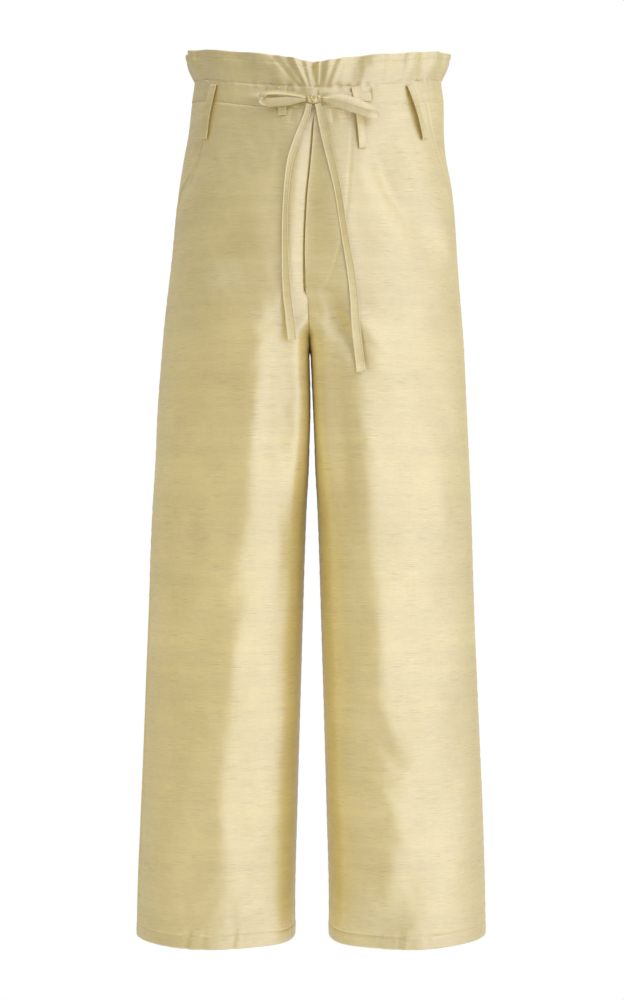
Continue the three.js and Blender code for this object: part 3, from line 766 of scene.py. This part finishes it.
# %% Waistband
BAND_COLUMNS, BAND_ROWS = 640, 78
BAND_WALL = 2.0
BAND_MIDDLE = (6.5, 0, 0)  # a point inside the band
HEADING_FLARE, HEADING_LIP, HEADING_SIDE_DROP = 9, 1.5, 2.8
KNOT_TURN, KNOT_PULL, KNOT_PULL_REACH = 91, 6.5, 13  # degrees, mm down, degrees
BAND_START, BAND_SWEEP = 92.3, 359.98  # degrees: the strip's two ends meet at the front
TOP_STITCH = HEADING_TOP - 8
BAND_KNOTS = (0, 3, 9, 13, 34, 38, 40, 42, 78)
BAND_LEVELS = (
    CASING_BOTTOM, CASING_BOTTOM + 1.4, CASING_TOP - 3, CASING_TOP + 3,
    HEADING_TOP - 1.2, HEADING_TOP, HEADING_TOP, HEADING_TOP - 1.2, CASING_BOTTOM,
)
BAND_INSETS = (-0.5, 0, 0, 0, 0, -0.6, -1.4, -BAND_WALL, -BAND_WALL)
BUTTONHOLES = (113.4, 66.2)  # turns round the waist to the right and the left one
BUTTONHOLE_LEVELS, SLIT_DEPTH = (-8, 6), 1.6
CASING_SLACK = (117, -7)  # the turn and level where the casing stands out by the outer hole


def casing_gathers(turn, level):
    """Small upright ripples where the cord bunches the casing, a slack place and the slits."""
    ripple = np.sin(np.radians(turn * 31)) + 0.8 * np.sin(np.radians(turn * 47 + 40))
    near_knot = bell(turn - KNOT_TURN, 16)
    inside = smoothstep(level, CASING_BOTTOM, CASING_BOTTOM + 8)
    low, high = BUTTONHOLE_LEVELS
    slit = plateau(level, low - 1, low, high, high + 1)
    slits = slit * sum(bell(turn - at, 0.5) for at in BUTTONHOLES)
    slack_turn, slack_level = CASING_SLACK
    slack = 2.4 * bell(turn - slack_turn, 4.5) * bell(level - slack_level, 5.5)
    return ripple * (0.14 + 0.5 * near_knot) * inside + slack - SLIT_DEPTH * slits


def band_surface(turn, level, inset):
    """Points round the waistband. A turn of 0 is the left side and 90 the centre front."""
    turn = np.mod(turn, 360)
    t = np.maximum(0, (level - CASING_TOP) / (HEADING_TOP - CASING_TOP))
    flare = HEADING_FLARE * np.sin(np.minimum(t * 1.25, 1) * np.pi / 2)
    out = flare + HEADING_LIP * np.maximum(0, t - 0.75) * 4
    out = out + pleat_height(turn, t, PLEATS) + pleat_height(turn, t, FINE_PLEATS)
    out = out + casing_gathers(turn, level) + inset
    for line, depth, width in ((TOP_STITCH, 0.8, 0.9), (CASING_TOP, 0.6, 1.0)):
        out = out - depth * bell(level - line, width) * (inset > -1)
    puckers = np.sin(np.radians(turn * 83)) + 0.7 * np.sin(np.radians(turn * 61 + 50))
    for line in (TOP_STITCH, CASING_TOP, CASING_BOTTOM):
        drawn = 0.16 + 0.3 * bell(turn - KNOT_TURN, 30) * (line == CASING_TOP)
        out = out + drawn * puckers * bell(level - line, 4)
    pull = KNOT_PULL * t * bell(turn - KNOT_TURN, KNOT_PULL_REACH)
    pull = pull + HEADING_SIDE_DROP * t * np.maximum(0, np.cos(np.radians(turn)))
    front = turn <= 180
    point = np.zeros(turn.shape + (3,))
    for face in (FRONT, BACK):
        around = turn if face == FRONT else 360 - turn
        for side in (LEFT, RIGHT):
            mine = (front == (face == FRONT)) & ((around <= 90) == (side == LEFT))
            angle = np.radians(around if side == LEFT else 180 - around)
            tilt = waist_tilt(face, angle, level)
            p, _ = cloth_point(side, face, angle, level + tilt, out, fine=False)
            p[..., 2] -= pull
            point[mine] = p[mine]
    return point


def waistband_surface(u, v):
    """The whole strip: u goes round the waist, and v up outside and down again inside."""
    row = v * BAND_ROWS
    level = np.interp(row, BAND_KNOTS, BAND_LEVELS)
    inset = np.interp(row, BAND_KNOTS, BAND_INSETS)
    return band_surface(BAND_START + BAND_SWEEP * u, level, inset)


waistband = cloth_grid(
    "silk_waistband", BAND_COLUMNS, BAND_ROWS, waistband_surface, BAND_MIDDLE, outer=0.2
)
finish_piece(waistband, ["waistband"], silk_band, smooth=80)

# %% [markdown]
# ## Tapes
#
# The drawstring and the belt loops are narrow strips, folded and stitched along both edges. A
# curve with a flat bevel would do, but a grid laid along a smooth path keeps the weave straight
# and lets the tape pinch, fold and cup where it is pulled. Solidify makes it as thick as the
# four layers inside, and a small bevel rounds its folded edges.

# %% Tape helper
TAPE_WIDTH, TAIL_THICK, BOW_THICK = 10.5, 1.1, 1.2
EDGE_STITCH = 1.3  # from a tape's edge to its stitched line


def at_lengths(at, lengths, values):
    """Rows of values read off at other lengths along a line."""
    return np.stack([np.interp(at, lengths, values[:, i]) for i in range(3)], -1)


def smooth_path(points, count):
    """A centripetal curve through the points, at even steps."""
    points = np.asarray(points, float)
    points = np.vstack([2 * points[0] - points[1], points, 2 * points[-1] - points[-2]])
    run = []
    for k in range(1, len(points) - 2):
        p = points[k - 1 : k + 3]
        t = run_lengths(p, 0.5)
        x = np.linspace(t[1], t[2], 40, endpoint=False)[:, None]
        a = [(p[i] * (t[i + 1] - x) + p[i + 1] * (x - t[i])) / (t[i + 1] - t[i]) for i in range(3)]
        b = [(a[i] * (t[i + 2] - x) + a[i + 1] * (x - t[i])) / (t[i + 2] - t[i]) for i in range(2)]
        run.append((b[0] * (t[2] - x) + b[1] * (x - t[1])) / (t[2] - t[1]))
    run = np.vstack(run + [points[-2:-1]])
    lengths = run_lengths(run)
    return at_lengths(np.linspace(0, lengths[-1], count), lengths, run), lengths[-1]


def unit(rows):
    """Each row of a list of directions, made one long."""
    return rows / np.linalg.norm(rows, axis=1)[:, None]


def square_to(rows, forward):
    """Each row less what it has along a forward direction, made one long."""
    return unit(rows - (rows * forward).sum(1)[:, None] * forward)


def along_path(path, across):
    """The tape's own axes at each point: across it, and out of it."""
    forward = unit(np.gradient(path, axis=0))
    across = square_to(np.broadcast_to(np.asarray(across, float), path.shape), forward)
    return across, np.cross(forward, across)


def tape(name, path, across, width, thick, cup, rim, steps_across=10):
    """A flat strip along a path. width and cup may be one value or one for each point."""
    count = len(path)
    sideways, outwards = along_path(path, across)
    width = np.broadcast_to(np.asarray(width, float), (count,))
    cup = np.broadcast_to(np.asarray(cup, float), (count,))

    def shape(u, v):
        k = np.rint(v * (count - 1)).astype(int)
        from_middle = (u - 0.5) * 2
        sag = cup[k] * (from_middle**2 - 0.35)
        from_edge = (1 - np.abs(from_middle)) * width[k] / 2
        edge = rim * bell(from_edge - 0.6, 0.6) - 0.12 * bell(from_edge - 1.5, 0.5)
        return (
            path[k] + sideways[k] * (from_middle * width[k] / 2)[:, None]
            + outwards[k] * (sag + edge)[:, None]
        )

    behind = path[count // 2] - outwards[count // 2]
    piece = cloth_grid(name, steps_across, count - 1, shape, behind)
    apply_modifier(piece, "SOLIDIFY", thickness=thick * MM, offset=0)
    apply_modifier(
        piece, "BEVEL", width=0.4 * thick * MM, segments=2, limit_method="ANGLE",
        angle_limit=math.radians(50),
    )
    return piece


TAPE_SEAMS = {"belt_loops": []}  # stitched lines: points, and the way the cloth faces there


def tape_edges(path, across, width, thick, cup, outward=None):
    """The two stitched lines along a tape, on the face that shows."""
    sideways, outwards = along_path(path, across)
    outwards = outwards if outward is None else outward
    width = np.broadcast_to(np.asarray(width, float), (len(path),))
    runs = []
    for edge in (-1, 1):
        inside = 1 - 2 * EDGE_STITCH / width
        raised = np.asarray(cup) * (inside**2 - 0.35) + thick / 2
        place = path + sideways * (edge * inside * width / 2)[:, None] + outwards * raised[:, None]
        runs.append((place, outwards))
    return runs


def route(rows, level=False):
    """Places beside the front, from rows of X, Z and how far each stands off. A level route
    stands straight forward from the cloth, and any other stands square to it."""
    rows = np.asarray(rows, float)
    off = 0 if level else rows[:, 2]
    points = beside_point(FRONT, rows[:, 0], rows[:, 1], off)[0]
    if level:
        points[:, 1] -= rows[:, 2]
    return points


# %% The drawstring's hanging ends
TAILS = {  # X, Z and how far it stands off, then how much it pinches and how it turns
    "drawstring_tail_right": ((
        (-4.6, -34.2, 6.4), (-7, -44.5, 4), (-10.3, -55, 2.2), (-18.5, -76, 2),
        (-26.5, -100.5, 1.8), (-32, -150, 1.8), (-32.6, -195, 2), (-30.5, -245, 4),
        (-27.5, -276, 8), (-24, -306, 11),
    ), 0.38, 0.6),
    "drawstring_tail_left": ((
        (5.2, -34.2, 6.4), (7.8, -45.5, 3.8), (11, -58, 2.2), (17, -84, 2), (27.5, -130, 1.8),
        (35.5, -180, 1.8), (43.5, -229, 2), (47, -259, 2.4), (49.5, -289, 2.6), (53, -326, 5),
        (55, -343, 7),
    ), 0.2, 2.2),
}
TAIL_STEPS = 150


def tail(name, rows, pinch, lean):
    """One hanging end: its piece, its path and its length."""
    path, length = smooth_path(route(rows, level=True), TAIL_STEPS)
    t = np.linspace(0, 1, TAIL_STEPS)
    width = TAPE_WIDTH * (1 - pinch * bell(t - 0.42, 0.3)) * (1 - 0.35 * bell(t, 0.07))
    cup = 0.25 + 0.2 * np.sin(9 * t) * (1 - t)
    turn = 0.12 * np.sin(7 * t + lean) - 0.03
    across = np.stack([np.cos(turn), np.sin(turn), 0 * t], -1)
    piece = tape("silk_" + name, path, across, width, TAIL_THICK, cup, 0.4, steps_across=18)
    TAPE_SEAMS[name] = tape_edges(path, across, width, TAIL_THICK, cup)
    return finish_piece(piece, [name], silk_tape), path, length


tails = {name: tail(name, *given) for name, given in TAILS.items()}
print("tails in mm:", [round(length) for _, _, length in tails.values()])

# %% Strands and bow
SIDEWAYS = (0, 0, 1)
BOW_TAPES = {  # X, Z and stand-off, the ways across at both ends, and a loop's pinch at its tip
    "drawstring_strand_right": ((
        (-54, -24, 1.4), (-42, -24, 1.4), (-30, -24.5, 1.6), (-18, -26, 2.2), (-9.8, -28, 3.6),
    ), SIDEWAYS, SIDEWAYS, None),
    "drawstring_strand_left": ((
        (67, -23.5, 1.4), (54, -24, 1.4), (40, -24.5, 1.6), (24, -26, 2.2), (12, -28, 3.6),
    ), SIDEWAYS, SIDEWAYS, None),
    "bow_loop_right": ((
        (-8.5, -27, 10.5), (-24, -23, 13.5), (-40, -21, 15), (-52, -21.8, 15), (-57, -27, 13),
        (-52, -31, 10.5), (-40, -31.4, 9.5), (-24, -30.6, 9), (-8.5, -29.6, 9),
    ), (0, 0.8, 0.6), (0, -0.4, 0.92), 0.1),
    "bow_loop_left": ((
        (10.7, -30.4, 11.4), (28, -36.5, 16.5), (47, -42.5, 19), (63, -47.5, 19),
        (70.5, -47.5, 15.5), (64, -40.5, 11.5), (47, -32, 10), (28, -27, 8.6), (10.7, -29, 8.2),
    ), (0, -0.66, 0.75), (0, 0.35, 0.94), 0.4),
}
STRAND_STEPS, LOOP_STEPS = 40, 110


def knot_taper(count, is_loop, pinch):
    """Full width away from the knot, drawn in where the tape enters it and at a loop's tip."""
    t = np.linspace(0, 1, count)
    to_knot = np.minimum(t, 1 - t) if is_loop else 1 - t
    tip = 1 - pinch * bell(t - 0.5, 0.06)
    return TAPE_WIDTH * tip * (0.45 + 0.55 * smoothstep(to_knot, 0, 0.2 if is_loop else 0.5))


def turning(count, first, last):
    """The direction across a tape, turned from one to another past the end of its loop."""
    t = smoothstep(np.linspace(0, 1, count), 0.38, 0.62)[:, None]
    return np.array(first) * (1 - t) + np.array(last) * t


for name, (rows, first, last, pinch) in BOW_TAPES.items():
    is_loop = pinch is not None
    steps = LOOP_STEPS if is_loop else STRAND_STEPS
    path, length = smooth_path(route(rows), steps)
    across = turning(steps, first, last)
    cup = 0.7 * smoothstep(np.linspace(0, 1, steps), 0, 0.3)
    width = knot_taper(steps, is_loop, pinch or 0)
    piece = tape("silk_" + name, path, across, width, BOW_THICK, cup, 0.2, steps_across=14)
    finish_piece(piece, [name], silk_tape)
    print(name, round(length), "mm")

# %% [markdown]
# The knot is where the tape goes over and under itself. A real one could be tied with a cloth
# simulation, but at this size what the eye reads is a middle wrap, two side lumps that the bow
# springs from, and a dark eye between them. So it starts as a sphere and is pressed into
# that shape, with the fine pleats of a pulled tape running over each part.

# %% Knot
KNOT_AT = (1.3, -28.6, 4.2)  # X, Z and how far it stands off the front
KNOT_HALF = (8.8, 5.0, 5.6)
KNOT_PRESSED = (0.8, 0.9, 0.8)  # under 1 squares the ball along an axis


def knot_height(x, z):
    """Lumps, grooves and pleats over the knot's face, from places across and up it."""
    wrap = 1.2 * np.exp(-(((x + 0.45 * z) / 3.2) ** 4))
    lumps = 1.3 * bell(x - 6.5, 2.4) * bell(z - 2.5, 4)
    lumps = lumps + 0.6 * bell(x + 6.8, 2.2)
    grooves = sum(
        depth * bell(x - at - lean * z, 0.9)
        for at, lean, depth in ((-4.4, -0.5, -1.3), (4.2, -0.4, -1.4))
    )
    ring = np.hypot((x + 0.6) / 1.25, (z - 1.2) / 1.0)
    eye = 0.7 * bell(ring - 2.6, 0.7) - 2.6 * bell(ring, 1.5)
    pleats = 0.30 * np.sin(2.6 * x + 0.4 * z) * np.exp(-((x / 4) ** 4))
    pulled = 0.26 * np.sin(2.4 * z + 0.8 * np.abs(x)) * smoothstep(np.abs(x), 4.5, 6)
    return wrap + lumps + grooves + eye + pleats + pulled


knot = add_shape(
    bpy.ops.mesh.primitive_uv_sphere_add, "silk_drawstring_knot",
    segments=112, ring_count=72, radius=1,
)
ball = np.array([vertex.co[:] for vertex in knot.data.vertices])
local = np.sign(ball) * np.abs(ball) ** np.array(KNOT_PRESSED) * np.array(KNOT_HALF)
towards_front = smoothstep(-ball[:, 1], -0.2, 0.5)
local[:, 1] -= knot_height(local[:, 0], local[:, 2]) * towards_front
knot_middle = beside_point(FRONT, *KNOT_AT, fine=False)[0]
knot.data.vertices.foreach_set("co", ((local + knot_middle) * MM).ravel())
write_cut(knot.data, local[:, [0, 2]])
finish_piece(knot, ["drawstring_knot"], silk_tape)

# %% Belt loops
BELT_LOOP_WIDTH, BELT_LOOP_THICK, BELT_LOOP_STANDS_OFF = 10, 1.3, 3.0
BELT_LOOPS = (  # name, face, X and Z of the top and of the bottom, tilt in radians
    ("belt_loop_right_outer", FRONT, -115, -2, -127, -66, -0.1),
    ("belt_loop_right_inner", FRONT, -35, -11.5, -35, -46, 0.1),
    ("belt_loop_left_inner", FRONT, 48, -12, 57, -84, 0.4),
    ("belt_loop_left_outer", FRONT, 112, -5, 129.5, -67, 0.38),
    ("belt_loop_back_right", BACK, -62, 12, -65, -46, 0.15),
    ("belt_loop_back_left", BACK, 74, 12, 77, -46, 0.15),
)


def belt_loop(name, face, top_x, top_z, bottom_x, bottom_z, most_tilt):
    """A strip that bows off the cloth, with its edge nearer the centre lifted by a tilt."""
    steps = 44
    t = np.linspace(0, 1, steps)
    x, z = top_x + (bottom_x - top_x) * t, top_z + (bottom_z - top_z) * t
    bow = np.sin(np.pi * t) ** 0.6
    fold = 0.7 * bell(np.minimum(t, 1 - t) * abs(bottom_z - top_z) - 2.2, 1.3)
    off = 0.7 + BELT_LOOP_STANDS_OFF * bow + fold + BELT_LOOP_THICK / 2
    path, outward = beside_point(face, x, z, off)
    across = unit(np.cross(np.gradient(path, axis=0), outward))
    tilt = (most_tilt * bow)[:, None]
    away_from_centre = np.sign(across[:, :1] * top_x)
    across = across * np.cos(tilt) - away_from_centre * outward * np.sin(tilt)
    piece = tape("silk_" + name, path, across, BELT_LOOP_WIDTH, BELT_LOOP_THICK, -0.3, -0.15)
    faces = along_path(path, across)[1]
    faces = faces * np.sign((faces * outward).sum(1))[:, None]
    seams = TAPE_SEAMS["belt_loops"]
    seams.extend(tape_edges(path, across, BELT_LOOP_WIDTH, BELT_LOOP_THICK, 0.3, faces))
    row = np.linspace(-0.36, 0.36, 7)[:, None] * BELT_LOOP_WIDTH
    for end in (1, 2, 3, -4, -3, -2):  # three rows across each end make its bartacks
        lifted = faces[end] * BELT_LOOP_THICK / 2
        seams.append((path[end] + across[end] * row + lifted, np.tile(faces[end], (7, 1))))
    return finish_piece(piece, [name], silk_tape)


for row in BELT_LOOPS:
    belt_loop(*row)

# %% [markdown]
# ## The sewing
#
# A row of stitches could be a bump, but real thread stands on the cloth, dents it and catches
# the light. One stitch is a sphere of twenty faces drawn out and half sunk. An array repeats it,
# and each copy is then moved to its own place along a seam and turned to follow it.

# %% Thread
def thread_finish():
    """Spun thread: a little paler than the silk, and uneven from stitch to stitch."""
    material = bpy.data.materials.new("silk_thread")
    tree = empty_tree(material)
    place = node(tree, "ShaderNodeTexCoord").outputs["Object"]
    speck = node(tree, "ShaderNodeTexNoise", {"Vector": place, "Scale": 420.0, "Detail": 2.0})
    uneven = ramp(tree, speck.outputs["Fac"], 0.3, 0.7, 0.88, 1.12)
    colour = node(tree, "ShaderNodeCombineColor", {0: 0.68, 1: 0.55, 2: 0.20}).outputs[0]
    shade = node(tree, "ShaderNodeVectorMath", {0: colour, "Scale": uneven}, operation="SCALE")
    surface = node(
        tree, "ShaderNodeBsdfPrincipled", {"Base Color": shade.outputs[0], "Roughness": 0.45}
    )
    node(tree, "ShaderNodeOutputMaterial", {"Surface": surface.outputs[0]})
    return material


thread = thread_finish()
STITCH_LONG, STITCH_THICK, STITCH_PITCH = 2.5, 0.5, 3.3


def sew(name, runs, pitch=STITCH_PITCH, long=STITCH_LONG):
    """Sets stitches along runs of points, each with the way the cloth faces there."""
    places, forwards, faces = [], [], []
    for points, normals in runs:
        lengths = run_lengths(points)
        count = max(int(lengths[-1] / pitch), 1)
        at = (np.arange(count) + 0.5) * lengths[-1] / count
        forward = np.gradient(points, axis=0)
        for store, values in ((places, points), (forwards, forward), (faces, normals)):
            store.append(at_lengths(at, lengths, values))
    places, forwards, faces = (np.vstack(part) for part in (places, forwards, faces))
    forwards = unit(forwards)
    faces = square_to(faces, forwards)
    sideways = np.cross(faces, forwards)
    piece = add_shape(bpy.ops.mesh.primitive_ico_sphere_add, name, subdivisions=1, radius=1)
    corners = np.array([vertex.co[:] for vertex in piece.data.vertices])
    apply_modifier(piece, "ARRAY", count=len(places))
    size = np.array([long, STITCH_THICK, STITCH_THICK]) / 2
    local = corners * size
    placed = places[:, None] + sum(
        local[None, :, i, None] * axis[:, None]
        for i, axis in enumerate((forwards, sideways, faces))
    )
    piece.data.vertices.foreach_set("co", (placed * MM).ravel())
    piece.data.update()
    return finish_piece(piece, [], thread, smooth=80)


def surface_run(shape, lift, middle):
    """A run over a surface: shape(0) is the run and shape(1) the same run a little beside it."""
    points, higher = shape(0.0), shape(1.0)
    normals = unit(np.cross(np.gradient(points, axis=0), higher - points))
    outward = points - np.asarray(middle, float)
    outward[:, 2] = 0
    normals *= np.sign((normals * outward).sum(1))[:, None]
    return points + normals * lift, normals


# %% Rows of stitches
ROUND_WAIST = np.linspace(BAND_START + 0.5, BAND_START + BAND_SWEEP - 0.5, 2400)
HEM_ROW = np.interp(-(HEM + HEM_DEPTH), [-z for z in ROW_LEVELS[1:4]], ROW_KNOTS[1:4])
HEM_ACROSS = np.linspace(0.004, 0.996, 500)
STITCH_LIFT = 0.05  # how far the middle of a stitch stands off the cloth


def band_run(turn, level, turn_step, level_step, lift):
    """A stitched line on the band. The two steps lead to a line right beside it."""
    def shape(up):
        return band_surface(turn + turn_step * up, level + level_step * up, 0.0)
    return surface_run(shape, lift, BAND_MIDDLE)


def hem_run(side, face):
    """The stitched line of one panel's hem."""
    def shape(up):
        rows = np.full(HEM_ACROSS.shape, HEM_ROW - 0.6 * up) / PANEL_ROWS
        return panel_surface(side, face, HEM_ACROSS, rows)
    return surface_run(shape, STITCH_LIFT, (side * 105, 0, 0))


def run_on_front(line, lift=STITCH_LIFT):
    """A stitched line on the front, from rows of X and Z."""
    even, _ = smooth_path([(x, z, 0) for x, z in line], 200)
    return beside_point(FRONT, even[:, 0], even[:, 1], lift)


band_stitches = sew("stitches_band", [
    band_run(ROUND_WAIST, line, 0, 0.6, STITCH_LIFT)
    for line in (TOP_STITCH, CASING_TOP, CASING_BOTTOM + 3)
])
hole_levels = np.linspace(BUTTONHOLE_LEVELS[0] - 1, BUTTONHOLE_LEVELS[1] + 1, 60)
buttonhole_stitches = sew("stitches_buttonholes", [
    band_run(np.full(60, turn + edge), hole_levels, 0.2, 0, 0.1)
    for turn in BUTTONHOLES for edge in (-0.62, 0.62)
], pitch=0.8, long=0.7)
hem_stitches = {
    place: sew(piece.name.replace("silk_", "hem_stitches_"), [hem_run(*place)])
    for place, piece in panels.items()
}
bartack = [[(x, -247.8 - down) for x in (-11, -8, -4.6)] for down in (0, 0.7, 1.4)]
fly_runs = [run_on_front(FLY_STITCH)] + [run_on_front(line, 0.6) for line in bartack]
fly_stitches = sew("stitches_fly", fly_runs, pitch=3.0)
tape_stitches = {
    name: sew("stitches_" + name, runs, pitch=2.6, long=1.9)
    for name, runs in TAPE_SEAMS.items()
}

# %% [markdown]
# ## What each piece was cut to
#
# The cut map gives each piece's widest width, its length with the hem let down, and the flat
# area between them, because a leg panel isn't a rectangle. The route of each hanging end of the
# drawstring is turned into a list of points in metres.

# %% Cuts and cords
def declare_cut(piece):
    """Says what a piece is cut to, from its cut map."""
    width, length, area = CUTS[piece.name]
    print(piece.name, "cut:", width, "x", length, "m, area", area, "m2")


for place, piece in panels.items():
    declare_cut(piece)
declare_cut(waistband)
for name, (piece, path, length) in tails.items():
    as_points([tuple(p * MM) for p in path[::5]] + [tuple(path[-1] * MM)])

# %% [markdown]
# ## Light
#
# Silk is judged by what it mirrors, so the room is arranged as in a studio: a dim left and
# front, which keep the colour of the cloth deep, and a bright right for the lustre. The floor
# glows a little too. A world with a soft gradient does this without any light in the way of
# another view. The background itself is plain white from every side.

# %% Room light
scene = bpy.context.scene
scene.view_settings.view_transform = "Standard"
world = bpy.data.worlds.new("white room")
scene.world = world
room = empty_tree(world)
toward = node(room, "ShaderNodeTexCoord").outputs["Generated"]
axes = node(room, "ShaderNodeSeparateXYZ", {0: toward}).outputs
to_front = multiply(room, axes[1], -1.0)
azimuth = node(room, "ShaderNodeMath", {0: axes[0], 1: to_front}, operation="ARCTAN2").outputs[0]
ROOM_BRIGHTEST = 2.5  # the ramp's stops hold shares of this
ROOM_ROUND = (  # degrees round from the camera towards the right, and how bright the room is
    (-180, 0.6), (-150, 0.55), (-118, 0.48), (-82, 0.28), (-16, 0.21), (-3, 0.34), (11, 0.78),
    (25, 1.2), (46, 1.38), (76, 1.33), (98, 0.86), (125, 0.66), (168, 0.7), (180, 0.6),
)
ROOM_TOP, FLOOR_GLOW, FLOOR_ECHO = 1.4, 0.45, 0.75
round_room = node(room, "ShaderNodeValToRGB", {0: ramp(room, azimuth, -math.pi, math.pi, 0, 1)})
stops = round_room.color_ramp.elements
while len(stops) < len(ROOM_ROUND):
    stops.new(0.5)
for stop, (degrees, brightness) in zip(stops, ROOM_ROUND):
    stop.position = (degrees + 180) / 360
    stop.color = (brightness / ROOM_BRIGHTEST,) * 3 + (1,)
glow = multiply(room, round_room.outputs[0], ROOM_BRIGHTEST)


def blend_values(tree, amount, low, high):
    """Moves from low to high by amount."""
    mix = node(tree, "ShaderNodeMix", {0: amount, 2: low, 3: high}, data_type="FLOAT")
    return mix.outputs[0]


below = add(room, multiply(room, glow, FLOOR_ECHO), FLOOR_GLOW)
glow = blend_values(room, ramp(room, axes[2], 0.48, 0.85, 0, 1), glow, ROOM_TOP)
glow = blend_values(room, ramp(room, axes[2], -0.3, -0.65, 0, 1), glow, below)
lit = node(room, "ShaderNodeBackground", {"Color": (1, 1, 1, 1), "Strength": glow})
plain = node(room, "ShaderNodeBackground", {"Color": (1, 1, 1, 1), "Strength": 1.0})
seen = node(room, "ShaderNodeLightPath").outputs["Is Camera Ray"]
either = node(room, "ShaderNodeMixShader", {0: seen, 1: lit.outputs[0], 2: plain.outputs[0]})
node(room, "ShaderNodeOutputWorld", {"Surface": either.outputs[0]})
print("room light:", len(room.nodes), "nodes")

# %% [markdown]
# The dim side of the room keeps its mirror image in the silk dark, but it would leave that side
# of the cloth dull. Lamps that are hidden from glossy rays add plain soft light without being
# mirrored: two wide suns, and a low spot that lifts the legs.

# %% Fill that the silk doesn't mirror
def fill_lamp(name, kind, azimuth, elevation, distance, aim, **settings):
    """A lamp round from the camera by azimuth, above the aim by elevation, in degrees."""
    turn, lift = math.radians(azimuth), math.radians(elevation)
    from_aim = Vector((
        math.sin(turn) * math.cos(lift), -math.cos(turn) * math.cos(lift), math.sin(lift),
    ))
    bpy.ops.object.light_add(
        type=kind, location=Vector(aim) + from_aim * distance,
        rotation=from_aim.to_track_quat("Z", "Y").to_euler(),
    )
    lamp = bpy.context.object
    lamp.name = name
    lamp.visible_glossy = False
    for key, value in settings.items():
        setattr(lamp.data, key, value)
    return lamp


fill_lamp("front fill", "SUN", -35, 4, 3, (0, 0, -0.5), energy=0.63, angle=math.radians(50))
fill_lamp("back fill", "SUN", 165, 4, 3, (0, 0, -0.5), energy=0.5, angle=math.radians(50))
fill_lamp(
    "leg fill", "SPOT", -37, -4, 2.0, (0, 0, -0.62), energy=38.5, shadow_soft_size=0.25,
    spot_size=math.radians(30), spot_blend=0.5,
)

# %% Floor
FLOOR_BELOW = 0.283  # metres under the hems, because the trousers hang clear of it
floor = add_shape(
    bpy.ops.mesh.primitive_plane_add, "floor", size=1.6, location=(0, 0, HEM * MM - FLOOR_BELOW)
)
floor_paint = bpy.data.materials.new("pale floor")
floor_paint.use_nodes = True
paint = floor_paint.node_tree.nodes["Principled BSDF"].inputs
paint["Base Color"].default_value = (0.88, 0.88, 0.88, 1)
paint["Roughness"].default_value = 0.8
floor.data.materials.append(floor_paint)
